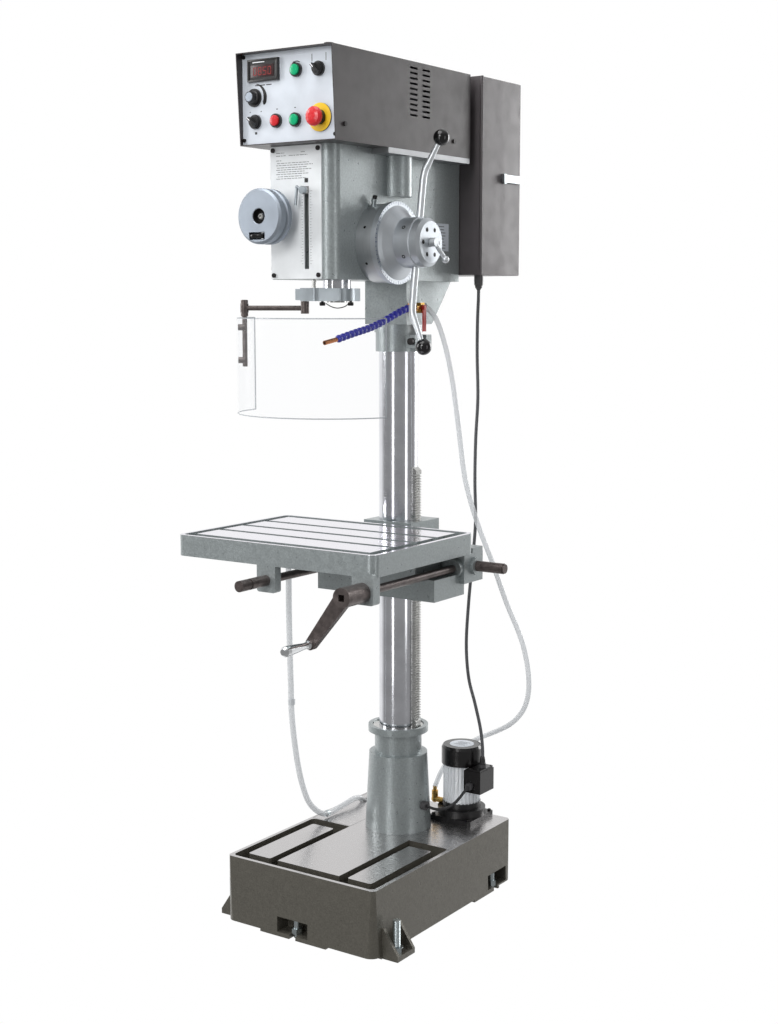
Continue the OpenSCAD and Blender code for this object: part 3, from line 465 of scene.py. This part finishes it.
def dress_nodes():
    for name, node in NODES.items():
        node.data.materials.clear()
        node.data.materials.append(NODE_MATERIALS[name])


dress_nodes()


# ---------------------------------------------------------------- mesh helpers

def piece(name, mesh, material, body, smooth=True):
    mesh.materials.append(material)
    obj = bpy.data.objects.new(name, mesh)
    bpy.context.scene.collection.objects.link(obj)
    if smooth:
        mesh.shade_smooth()
        mesh.set_sharp_from_angle(angle=math.radians(32))
    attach(obj, body)
    return obj


def mesh_from(name, verts, faces):
    mesh = bpy.data.meshes.new(name)
    mesh.from_pydata([tuple(v) for v in verts], [], faces)
    bm = bmesh.new()
    bm.from_mesh(mesh)
    bmesh.ops.remove_doubles(bm, verts=bm.verts, dist=1e-6)
    bmesh.ops.recalc_face_normals(bm, faces=bm.faces)
    bm.to_mesh(mesh)
    bm.free()
    return mesh


def solid(name, shape, material, body, smooth=True):
    """A piece from its vertices and faces."""
    return piece(name, mesh_from(name, *shape), material, body, smooth)


def frame_of(axis):
    axis = axis.normalized()
    side = Z_AXIS if abs(axis.z) < 0.9 else X_AXIS
    u = axis.cross(side).normalized()
    return axis, u, axis.cross(u)


def lathe(at, axis, profile, sides=64):
    """A profile of (radius, height) points in millimetres, turned about an axis."""
    axis, u, v = frame_of(axis)
    verts, faces = [], []
    for r, h in profile:
        for k in range(sides):
            a = 2 * math.pi * k / sides
            verts.append(at + (axis * h + (u * math.cos(a) + v * math.sin(a)) * r) * MM)
    for i in range(len(profile) - 1):
        for k in range(sides):
            n = (k + 1) % sides
            faces.append((i * sides + k, i * sides + n, (i + 1) * sides + n,
                          (i + 1) * sides + k))
    for i in (0, len(profile) - 1):
        if profile[i][0] > 1e-6:
            faces.append(tuple(range(i * sides, (i + 1) * sides)))
    return verts, faces


def merge(parts):
    verts, faces = [], []
    for v, f in parts:
        base = len(verts)
        verts += v
        faces += [tuple(base + i for i in face) for face in f]
    return verts, faces


def block(low, high, bevel=0.6):
    """A box with bevelled edges, from its corners in millimetres."""
    low, high = Vector(low), Vector(high)
    bm = bmesh.new()
    bmesh.ops.create_cube(bm, size=1)
    for v in bm.verts:
        v.co = (low + high) / 2 + Vector(c * s for c, s in zip(v.co, high - low))
    if bevel:
        bmesh.ops.bevel(bm, geom=bm.edges[:], offset=bevel, segments=2, affect="EDGES",
                        profile=0.6)
    bm.verts.index_update()
    verts = [v.co * MM for v in bm.verts]
    faces = [tuple(v.index for v in f.verts) for f in bm.faces]
    bm.free()
    return verts, faces


def smooth_route(points, steps=6):
    """Catmull-Rom curve through the points."""
    points = [Vector(p) for p in points]
    out = []
    for i in range(len(points) - 1):
        a, b = points[max(i - 1, 0)], points[i]
        c, d = points[i + 1], points[min(i + 2, len(points) - 1)]
        for k in range(steps):
            t = k / steps
            out.append(0.5 * (2 * b + (c - a) * t + (2 * a - 5 * b + 4 * c - d) * t * t
                              + (3 * b - a - 3 * c + d) * t ** 3))
    out.append(points[-1])
    return out


def rounded(line, passes, spacing=0.004):
    """The same line with its corners rounded by the cord's own stiffness; its ends stay."""
    even, left = [line[0]], spacing
    for a, b in zip(line, line[1:]):
        span, done = (b - a).length, 0.0
        while span - done >= left:
            done += left
            even.append(a.lerp(b, done / span))
            left = spacing
        left -= span - done
    even[-1] = line[-1]
    for _ in range(passes):
        inner = [(a + 2 * b + c) / 4 for a, b, c in zip(even, even[1:], even[2:])]
        even = [even[0]] + inner + [even[-1]]
    return even


def route_length(points):
    return sum((b - a).length for a, b in zip(points, points[1:]))


def sweep(points, radius, sides=16, caps=True):
    """A tube along points in metres; radius in millimetres, a number or a function of 0..1."""
    count = len(points)
    before, after = points[:1] + points[:-1], points[1:] + points[-1:]
    tangents = [(b - a).normalized() for a, b in zip(before, after)]
    normal = frame_of(tangents[0])[1]
    verts, faces = [], []
    for i, (p, t) in enumerate(zip(points, tangents)):
        normal = (normal - t * normal.dot(t)).normalized()
        side = t.cross(normal)
        r = (radius(i / (count - 1)) if callable(radius) else radius) * MM
        for k in range(sides):
            a = 2 * math.pi * k / sides
            verts.append(p + (normal * math.cos(a) + side * math.sin(a)) * r)
    for i in range(count - 1):
        for k in range(sides):
            n = (k + 1) % sides
            faces.append((i * sides + k, i * sides + n, (i + 1) * sides + n,
                          (i + 1) * sides + k))
    if caps:
        faces += [tuple(range(sides)), tuple(range((count - 1) * sides, count * sides))]
    return verts, faces


# ---------------------------------------------------------------- cables and hoses

POWER_ROUTE = [
    (120, 268, 1475), (120, 268, 1440), (119, 266, 1380), (120, 264, 1300), (124, 262, 1200),
    (120, 260, 1100), (121, 256, 1000), (126, 252, 900), (120, 248, 800), (114, 242, 700),
    (112, 236, 600), (124, 228, 520), (146, 222, 460), (164, 219, 400), (172, 217, 350),
    (172, 217, 312)]
PUMP_ROUTE = [
    (156, 177, 262), (150, 165, 250), (140, 145, 228), (122, 128, 214), (105, 115, 212),
    (96, 100, 220), (88, 97, 224)]
HOSE_ROUTE = [
    (73, 101, 1418), (78, 109, 1418), (90, 114, 1406), (112, 118, 1356), (130, 130, 1267),
    (143, 145, 1133), (155, 155, 1013), (182, 170, 907), (217, 180, 818), (251, 190, 721),
    (292, 195, 633), (308, 200, 542), (297, 205, 478), (255, 220, 429), (190, 255, 389),
    (97, 305, 340), (45, 290, 300), (28, 258, 262), (30, 225, 228)]
DRAIN_ROUTE = [
    (-177, -95, 850), (-177, -95, 780), (-177, -95, 700), (-178, -92, 620), (-178, -89, 530),
    (-178, -85, 437), (-177, -65, 320), (-176, -35, 235), (-174, 0, 192), (-171, 41, 171),
    (-172, 100, 172), (-173, 150, 176.5), (-173, 170, 176), (-172.5, 186, 172),
    (-172, 200, 163.7), (-172, 210, 156.7)]
ARM_ROUTE = [
    (73, 51.5, 1414), (72, 38, 1413), (69, 10, 1406), (62, -39, 1387), (57, -90, 1371),
    (53, -150, 1359), (48, -208, 1346.3)]


def in_metres(route):
    return [mm(*p) for p in route]


def make_cord(name, node, route, diameter, material, body, rounding=0):
    line = smooth_route(in_metres(route))
    if rounding:
        line = rounded(line, rounding)
    mesh = mesh_from(name, *sweep(line, diameter / 2, 14))
    obj = piece(name, mesh, material, body)
    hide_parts(node)
    return obj


make_cord("power_cable_run", "power_cable", POWER_ROUTE, 8, CABLE, "frame")
make_cord("pump_cable_run", "pump_cable", PUMP_ROUTE, 7, RUBBER, "frame",
          20)
make_cord("coolant_hose_run", "coolant_hose", HOSE_ROUTE, 12, HOSE, "frame",
          60)


DRAIN_SPLIT_Z = 0.32                    # metres; the two lengths of the drain hose meet here


def drain_hose_part(name, line):
    mesh = mesh_from(name, *sweep(line, 7, 14, caps=False))
    mesh.materials.append(HOSE)
    obj = bpy.data.objects.new(name, mesh)
    bpy.context.scene.collection.objects.link(obj)
    mesh.shade_smooth()
    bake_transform(obj)
    return obj


def make_drain_hose():
    """The drain hose: one length between rack and table, one between rack and tank port."""
    line = smooth_route(in_metres(DRAIN_ROUTE))
    cut = min(range(len(line)), key=lambda i: abs(line[i].z - DRAIN_SPLIT_Z))
    upper = drain_hose_part("drain_hose_run", line[:cut + 1])
    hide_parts("drain_hose")
    drain_hose_part("drain_hose_foot", line[cut:])


make_drain_hose()


# ---------------------------------------------------------------- coolant arm

def point_along(line, distance):
    """The point this far along a line, and the line's direction there."""
    walked = 0.0
    for a, b in zip(line, line[1:]):
        step = (b - a).length
        if walked + step >= distance:
            return a.lerp(b, (distance - walked) / step), (b - a).normalized()
        walked += step
    return line[-1], (line[-1] - line[-2]).normalized()


def coolant_beads(count=19):
    """Ball-and-socket segments threaded along the arm."""
    line = smooth_route(in_metres(ARM_ROUTE), 12)
    total = route_length(line)
    half = total / count / 2 / MM
    profile = [(4.4, -half), (4.6, -half + 0.5), (8.0, -half + 2.2), (8.5, -half * 0.5),
               (8.5, 0), (7.6, half * 0.3), (5.4, half * 0.45), (4.5, half * 0.7), (4.4, half)]
    parts = []
    for k in range(count):
        here, along = point_along(line, total * (k + 0.5) / count)
        parts.append(lathe(here, along, profile, 28))
    obj = solid("coolant_segments", merge(parts), BLUE, "coolant_arm")
    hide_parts("coolant_arm")


coolant_beads()


# ---------------------------------------------------------------- feed levers and hub

HUB = mm(188, FEED_Y, FEED_Z)
LEVER_TILT = math.radians(8.7)


def lever_radius(t):
    """Radius along a feed lever: nearly even, then tapering towards its knob."""
    return 7.9 - 0.5 * t if t < 0.66 else 7.6 - 2.4 * (t - 0.66) / 0.34


def feed_levers():
    for side, name in ((1, "feed_lever_up"), (-1, "feed_lever_down")):
        out = Vector((0, math.sin(LEVER_TILT), math.cos(LEVER_TILT))) * side
        radii = (32, 60, 100, 138, 158, 172, 190, 217)
        shift = (0, 0, 0, 0.5, 4, 11, 20, 33)
        line = smooth_route([HUB + out * r * MM + X_AXIS * s * MM
                             for r, s in zip(radii, shift)], 8)
        obj = solid(name, sweep(line, lever_radius, 28), LEVER, "feed_hub")
        if side > 0:
            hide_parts("feed_levers")


feed_levers()


def ring_marks(name, centre, axis, r_in, r_out, count, width, material, body,
               long_every=5, lift=0.06):
    """Thin raised graduation lines round a dial's flat face."""
    axis, u, v = frame_of(axis)
    parts = []
    for k in range(count):
        a = 2 * math.pi * k / count
        radial = u * math.cos(a) + v * math.sin(a)
        tangent = axis.cross(radial)
        inner = r_in if k % long_every == 0 else (r_in + r_out) / 2
        verts = []
        for h in (0.0, lift):
            for r, w in ((inner, -1), (inner, 1), (r_out, 1), (r_out, -1)):
                verts.append(centre + (radial * r + tangent * w * width / 2 + axis * h) * MM)
        faces = [(4, 5, 6, 7), (0, 1, 5, 4), (1, 2, 6, 5), (2, 3, 7, 6), (3, 0, 4, 7),
                 (3, 2, 1, 0)]
        parts.append((verts, faces))
    return piece(name, mesh_from(name, *merge(parts)), material, body, smooth=False)


ring_marks("hub_dial_marks", mm(138, FEED_Y, FEED_Z), X_AXIS, 81, 88.4, 60, 1.3, INK_BLUE,
           "feed_hub")


def socket_screw(at, axis, r, h):
    """Cap screw: a rim, a chamfer and a socket."""
    return lathe(at, axis, [(r, 0), (r, h * 0.8), (r * 0.9, h), (r * 0.52, h),
                            (r * 0.5, h * 0.35), (0, h * 0.35)], 24)


def round_x(degrees):
    """Unit vector at this angle round the X axis."""
    t = math.radians(degrees)
    return Vector((0, math.cos(t), math.sin(t)))


def hub_screws():
    """Set screws in the hub's rim, and the six screws of its end cap."""
    sets = [socket_screw(HUB + round_x(a) * 53.6 * MM - X_AXIS * 7 * MM, round_x(a), 4.4, 0.6)
            for a in (35, 145, 215, 325)]
    solid("hub_set_screws", merge(sets), SCREW, "feed_hub")
    profile = [(4.7, -0.1), (4.7, 0.3), (4.3, 0.5), (2.3, 0.5), (2.2, -1.5), (0, -1.5)]
    ends = [lathe(mm(222, FEED_Y, FEED_Z) + round_x(a) * 30 * MM, X_AXIS, profile, 28)
            for a in range(0, 360, 60)]
    solid("hub_end_screws", merge(ends), SCREW, "feed_hub")


def oil_cup():
    lean = Vector((0.35, -0.2, 1))
    cup = lathe(mm(92, -128, 1640), lean,
                [(5, -6), (5, 2), (6.4, 2.4), (6.4, 8), (5.2, 9.6), (0, 10)], 28)
    solid("oil_cup", cup, ZINC, "frame")
    cap = lathe(mm(96, -130, 1651), lean,
                [(4.4, -1.6), (5.6, -1), (5.6, 3), (4, 5), (0, 5.6)], 28)
    solid("oil_cup_cap", cap, BLACK_GLOSS, "frame")


def boss_screws():
    screws = [socket_screw(mm(104, FEED_Y, FEED_Z) + round_x(a) * 84.8 * MM, round_x(a),
                           3.2, 0.5) for a in (158, 212)]
    solid("boss_set_screws", merge(screws), SCREW, "frame")


hub_screws()
oil_cup()
boss_screws()


def fine_wheel_socket():
    """Counterbore of the fine feed wheel lined black as painted shade, and its bolt."""
    at = mm(-60, -322, 1607)
    cup = lathe(at, -Y_AXIS, [(0, 0.15), (15.6, 0.15), (15.6, 14), (15.9, 14), (15.9, 0.05),
                              (0, 0.05)], 56)
    solid("fine_wheel_bore_painted_shade", cup, BLACK, "fine_feed_wheel")
    bolt = socket_screw(at - Y_AXIS * 5.1 * MM, -Y_AXIS, 6.6, 3.4)
    solid("fine_wheel_bolt", bolt, STEEL, "fine_feed_wheel")


fine_wheel_socket()


# ---------------------------------------------------------------- front plate

def flat_marks(name, boxes, material, body):
    """Printed marks: very thin plates, each from its two corners in millimetres."""
    parts = [block(low, high, 0) for low, high in boxes]
    return piece(name, mesh_from(name, *merge(parts)), material, body, smooth=False)


def scale_boxes(y0, y1, top=1660, bottom=1508, count=26):
    """Graduations on both sides of the depth slot, every fifth one longer."""
    boxes = []
    for k in range(count + 1):
        z = top - (top - bottom) * k / count
        reach = 7 if k % 5 == 0 else 4
        for edge, way in ((7.5, -1), (25.5, 1)):
            x_low, x_high = sorted((edge, edge + way * reach))
            boxes.append(((x_low, y0, z - 0.25), (x_high, y1, z + 0.25)))
    return boxes


TEXT_LINES = ((1742, -64, -42), (1742, 2, 14), (1736, -64, -38), (1736, -30, 20),
              (1726, -64, -50), (1720.5, -62, 24), (1716, -64, 34), (1711, -62, 18),
              (1706.5, -64, 30), (1702, -60, 12), (1697.5, -64, 22), (1692.5, -60, 4),
              (1688, -64, 16))


def text_boxes(y0, y1):
    """Generic words: each line is its height and its two ends."""
    boxes = []
    for z, x, x_high in TEXT_LINES:
        word = 0
        while x < x_high:
            width = 5 + 3 * ((word * 7 + int(z)) % 3)
            boxes.append(((x, y0, z - 0.55), (min(x + width, x_high), y1, z + 0.55)))
            x += width + 1.8
            word += 1
    return boxes


def front_plate_marks():
    y0, y1 = PLATE_Y - 0.12, PLATE_Y + 0.1
    flat_marks("front_plate_print", scale_boxes(y0, y1) + text_boxes(y0, y1), INK, "frame")
    flat_marks("scale_zero_mark", [((12.5, PLATE_Y - 1, 1678), (21, y1, 1687))], BLACK,
               "frame")


front_plate_marks()


# ---------------------------------------------------------------- control panel

def panel_prints():
    y0, y1 = PANEL_Y - 0.12, PANEL_Y + 0.1
    boxes = []
    for x_low, x_high, z in ((-90, -80, 1881), (-76, -64, 1881), (-60, -46, 1881),
                             (-34, -30, 1829), (14, 18, 1829), (-106, -103, 1827),
                             (-76, -73, 1827)):
        boxes.append(((x_low, y0, z - 1), (x_high, y1, z + 1)))
    boxes.append(((60, y0, 1918), (61.6, y1, 1934)))
    boxes.append(((96, y0, 1918), (97.6, y1, 1934)))
    boxes.append(((-92, y0, 1780), (-86, y1, 1785)))
    flat_marks("panel_print", boxes, INK, "frame")


panel_prints()


def speed_arc():
    """Wedge-shaped arc beside the speed knob, wider as it goes round."""
    verts, faces = [], []
    steps, middle = 22, 28.5
    for i in range(steps + 1):
        t = i / steps
        a = math.radians(80 - 112 * t)
        width = 1.2 + 8.0 * min(1, t * 1.5) if t < 0.92 else 9.2 - 80 * (t - 0.92)
        for r in (middle - width / 2, middle + width / 2):
            for y in (PANEL_Y + 0.1, PANEL_Y - 0.12):
                verts.append(mm(SPEED_X + r * math.cos(a), y, SPEED_Z + r * math.sin(a)))
    for i in range(steps):
        a, b = 4 * i, 4 * i + 4
        faces += [(a, a + 2, b + 2, b), (a + 1, b + 1, b + 3, a + 3), (a, b, b + 1, a + 1),
                  (a + 2, a + 3, b + 3, b + 2)]
    piece("speed_arc", mesh_from("speed_arc", verts, faces), BLACK, "frame",
          smooth=False)


speed_arc()


def direction_arc():
    """Curved arrow over the start button."""
    line = [mm(21 + 16 * math.cos(math.radians(a)), PANEL_Y - 0.1,
               1905 + 17.5 * math.sin(math.radians(a)))
            for a in range(60, 121, 5)]
    shaft = sweep(line, 1.0, 8)
    tip = lathe(line[-1] + mm(1.0, 0, 0.2), Vector((-1, 0, -0.45)), [(2.8, 0), (0.1, 6.5)], 10)
    solid("direction_arrow", merge([shaft, tip]), INK, "frame")


direction_arc()


SEGMENTS = {"a": ((0, 1), (1, 1)), "b": ((1, 1), (1, 0.5)), "c": ((1, 0.5), (1, 0)),
            "d": ((0, 0), (1, 0)), "e": ((0, 0.5), (0, 0)), "f": ((0, 1), (0, 0.5)),
            "g": ((0, 0.5), (1, 0.5))}
DIGITS = {"0": "abcdef", "5": "afgcd", "8": "abcdefg"}


def display_digits():
    """Tinted window with four seven-segment digits behind a raised frame."""
    face = PANEL_Y - 6
    rim = merge([block((-106, face - 1.4, 1888), (-24, face, 1892)),
                 block((-106, face - 1.4, 1930), (-24, face, 1934)),
                 block((-106, face - 1.4, 1892), (-101, face, 1930)),
                 block((-29, face - 1.4, 1892), (-24, face, 1930))])
    solid("display_rim", rim, BLACK, "frame")
    window = block((-97, face - 0.6, 1897), (-35, face, 1922), 0.3)
    solid("display_window", window, SMOKED, "frame")
    boxes = []
    for place, digit in enumerate("0850"):
        x0, z0, w, h = -89 + place * 13, 1901.5, 7.5, 15
        for name in DIGITS[digit]:
            (xa, za), (xb, zb) = SEGMENTS[name]
            low = (x0 + min(xa, xb) * w - 0.8, face - 0.75, z0 + min(za, zb) * h - 0.8)
            high = (x0 + max(xa, xb) * w + 0.8, face - 0.5, z0 + max(za, zb) * h + 0.8)
            boxes.append((low, high))
    flat_marks("display_digits", boxes, LED, "frame")
    flat_marks("display_caption", [((-92, face - 0.15, 1926.6), (-60, face + 0.1, 1928.6))],
               WHITE, "frame")


display_digits()


def button_lens(name, at, material):
    """Domed lens on a push button."""
    x, z = at
    lens = lathe(mm(x, PANEL_Y - 9.6, z), -Y_AXIS,
                 [(10.6, 0), (10.6, 0.5), (10.0, 1.1), (7.4, 1.6), (3.6, 1.9), (0, 2.0)], 48)
    solid(name + "_lens", lens, material, name)


BUTTONS = (("start_button", (21, 1905), GREEN, "green_plastic"),
           ("stop_button", (-33, 1805), RED, "red_plastic"),
           ("run_button", (18, 1804), GREEN, "green_plastic"))
for button, at, material, slot in BUTTONS:
    button_lens(button, at, material)


def selector(name, at, turn):
    """Selector knob: round skirt, raised finger bar and a white pointer line."""
    x, z = at
    base = mm(x, PANEL_Y - 5.4, z)
    skirt = lathe(base, -Y_AXIS, [(12.5, 0), (12.5, 4.2), (11.6, 6.0), (0, 6.0)], 56)
    bar_v, bar_f = block((-11.2, -15.4, -3.4), (11.2, -5.0, 3.4), 1.4)
    spin = Matrix.Rotation(math.radians(turn), 4, "Y")
    bar_v = [base + spin @ v for v in bar_v]
    body = solid(name + "_body", merge([skirt, (bar_v, bar_f)]), BLACK, name)
    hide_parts(name)
    line_v, line_f = block((-11.0, -15.75, -0.9), (-1.5, -15.2, 0.9), 0)
    line_v = [base + spin @ v for v in line_v]
    solid(name + "_pointer", (line_v, line_f), WHITE, name, smooth=False)


selector("selector_upper", (79, 1903), 48)
selector("selector_lower", (-89, 1806), 42)


def speed_knob():
    """Fluted knob with a bright cap."""
    at = mm(SPEED_X, PANEL_Y - 3.3, SPEED_Z)
    skirt = lathe(at, -Y_AXIS, [(15, 0), (15, 2.2), (13.4, 4.4), (12.0, 5.0)], 56)
    axis, u, v = frame_of(-Y_AXIS)
    verts, faces, sides = [], [], 72
    levels = ((12.0, 4.8), (11.9, 14.5), (11.2, 16.0), (0.01, 16.0))
    for r, h in levels:
        for k in range(sides):
            a = 2 * math.pi * k / sides
            flute = 0.55 * max(0.0, math.cos(a * 18)) if 4 < h < 15 else 0
            radial = u * math.cos(a) + v * math.sin(a)
            verts.append(at + (radial * (r - flute) + axis * h) * MM)
    for i in range(len(levels) - 1):
        for k in range(sides):
            n = (k + 1) % sides
            faces.append((i * sides + k, i * sides + n, (i + 1) * sides + n,
                          (i + 1) * sides + k))
    body = solid("speed_knob_body", merge([skirt, (verts, faces)]), BLACK, "speed_knob")
    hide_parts("speed_knob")
    cap = lathe(at, -Y_AXIS, [(9.6, 15.8), (9.6, 16.6), (8.8, 17.2), (0, 17.4)], 48)
    solid("speed_knob_cap", cap, ALUMINIUM_Y_PAINTED_SHADE, "speed_knob")


speed_knob()


def estop_ring():
    ring = lathe(mm(ESTOP_X, PANEL_Y - 3.0, ESTOP_Z), -Y_AXIS,
                 [(29, 0), (29, 0.35), (28.4, 0.6), (13.5, 0.6), (13.5, 0)], 72)
    solid("estop_plate", ring, YELLOW, "frame")
    collar = lathe(mm(ESTOP_X, PANEL_Y - 3.6, ESTOP_Z), -Y_AXIS,
                   [(15.5, 0), (15.5, 6.2), (14.4, 7.6), (12.2, 8), (12.2, 0)], 56)
    solid("estop_collar", collar, BLACK, "frame")


estop_ring()


# ---------------------------------------------------------------- pump and base details

def pump_details():
    top = mm(100, 238, 347)
    badge = lathe(top, Z_AXIS, [(30, 0), (30, 0.3), (29.4, 0.5), (0, 0.5)], 64)
    solid("pump_badge", badge, PANEL, "frame")
    lines = [((100 - 16 + (k % 3) * 2, 238 - 12 + k * 6, 347.45),
              (100 + 16 - (k % 2) * 5, 238 - 10.4 + k * 6, 347.6))
             for k in range(5)]
    flat_marks("pump_badge_print", lines, INK, "frame")
    screws = [socket_screw(mm(x, y, 172), Z_AXIS, 4.4, 4)
              for x in (50, 150) for y in (188, 288)]
    lid = [socket_screw(mm(x, y, 304), Z_AXIS, 2.2, 0.9)
           for x, y in ((157, 191), (157, 243), (179, 243))]
    solid("pump_screws", merge(screws), SCREW, "frame")
    solid("terminal_lid_screws", merge(lid), SCREW, "frame")


pump_details()


def thread(at, r, z0, z1, pitch=1.75):
    """Bolt thread as a stack of ridges."""
    count = int((z1 - z0) / pitch)
    profile = []
    for k in range(count):
        profile += [(r - 0.1, z0 + k * pitch), (r + 0.75, z0 + (k + 0.5) * pitch)]
    profile.append((r - 0.1, z0 + count * pitch))
    return lathe(at, Z_AXIS, profile, 32)


def levelling_details():
    parts = []
    for x in (-232, 232):
        parts.append(thread(mm(x, -246, 0), 7.8, 26, 86))
        parts.append(lathe(mm(x, -246, 12), Z_AXIS,
                           [(8.6, 13), (15, 13.1), (15, 15.4), (8.6, 15.5)], 40))
    solid("levelling_threads", merge(parts), ZINC, "frame")


levelling_details()


# ---------------------------------------------------------------- guard, plates and fittings

GUARD_Y, GUARD_R = -165, 204.5
GUARD_LOW, GUARD_HIGH = 1184.4, 1392.6


def guard_edges():
    """The sheet's cut edges, which catch the light."""
    def at(angle, z):
        a = math.radians(angle)
        return mm(GUARD_R * math.cos(a), GUARD_Y + GUARD_R * math.sin(a), z)
    angles = [183.6 + 157.8 * k / 48 for k in range(49)]
    levels = [GUARD_LOW + (GUARD_HIGH - GUARD_LOW) * k / 6 for k in range(7)]
    parts = [sweep([at(a, z) for a in angles], 1.2, 8) for z in (GUARD_LOW, GUARD_HIGH)]
    parts += [sweep([at(a, z) for z in levels], 1.4, 8) for a in (183.4, 341.6)]
    solid("guard_edges", merge(parts), GUARD_EDGE, "guard")


guard_edges()


def side_plate():
    """Small information plate on the head's side, with unreadable lines."""
    plate = block((83.1, 92, 1545), (83.9, 190, 1608), 0.25)
    solid("side_plate", plate, PANEL, "frame")
    lines = []
    for k in range(8):
        z = 1601 - 7 * k
        lines.append(((83.7, 98, z - 0.7), (84.0, 128 + 9 * (k % 3), z + 0.7)))
        lines.append(((83.7, 146, z - 0.7), (84.0, 170 + 6 * (k % 4 // 2), z + 0.7)))
    flat_marks("side_plate_print", lines, INK, "frame")


side_plate()


def fold_handle():
    """Grip of the folding handle on the fine feed wheel, with its pin."""
    at = mm(-48, -332, 1566)
    grip = lathe(at, -X_AXIS, [(0, 0), (4.8, 0.2), (6.2, 1.8), (6.5, 5), (6.1, 14), (5.7, 20),
                               (6.1, 27), (6.4, 31), (5.4, 34), (0, 34.9)], 40)
    obj = solid("folding_grip", grip, BLACK_GLOSS, "folding_handle")
    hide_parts("folding_handle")
    pin = lathe(mm(-52, -332, 1558.6), Z_AXIS, [(2.4, 0), (3, 0.5), (3, 14.3), (2.4, 14.8)], 24)
    solid("folding_pin", pin, CHROME, "folding_handle")


fold_handle()


def cable_relief():
    """Strain reliefs at the cabinet's gland and the pump's terminal box."""
    relief = lathe(mm(120, 268, 1475.5), -Z_AXIS,
                   [(10.6, 0), (10.6, 7), (9.4, 8.5), (9.4, 10), (8.6, 10.6), (8.6, 13),
                    (8.2, 14.4), (6.6, 16), (4.4, 20), (3.25, 20.6)], 40)
    solid("power_cable_relief", relief, GLAND, "frame")
    relief = lathe(mm(172, 217, 312), Z_AXIS,
                   [(8.4, 0), (8.4, 3), (7.0, 4.4), (6.6, 12), (5.0, 19), (3.4, 22)], 36)
    solid("pump_lid_relief", relief, BLACK, "frame")


cable_relief()


def hose_clips():
    """Clips and joiner on the hoses; all of them are rigid."""
    clip = lathe(mm(-171.2, 44, 171), Vector((0, 1, 0.01)),
                 [(7.1, -5), (8.3, -4.6), (8.3, 4.6), (7.1, 5)], 32)
    solid("drain_clip", clip, ZINC, "rack_carrier")
    joint = lathe(mm(-178, -86.5, 482), Vector((0, 0.04, 1)),
                  [(7.1, -7), (8.6, -6), (8.6, 6), (7.1, 7)], 32)
    solid("drain_joiner", joint, HOSE, "rack_carrier")
    ring = lathe(mm(73.6, 102, 1418), Vector((0.3, 0.9, 0)),
                 [(6.1, -3.5), (7.4, -3.2), (7.4, 3.2), (6.1, 3.5)], 32)
    solid("valve_clip", ring, ZINC, "frame")


hose_clips()


def collar_fittings():
    """Two clamp knobs and a wire loop under the quill collar."""
    knobs = []
    for x, y in ((20, -220), (45, -150)):
        knobs.append(lathe(mm(x, y, 1429.5), -Z_AXIS,
                           [(3, 0), (3, 2.5), (6, 3), (6.4, 5), (6.4, 9), (5.6, 10.4),
                            (0, 10.6)], 28))
    solid("collar_knobs", merge(knobs), SCREW, "quill_unit")
    loop = smooth_route(in_metres([(25, -214, 1424), (31, -202, 1417), (36, -186, 1414),
                                   (41, -168, 1417), (43, -156, 1423)]), 6)
    solid("collar_wire", sweep(loop, 1.1, 10), SCREW, "quill_unit")


collar_fittings()
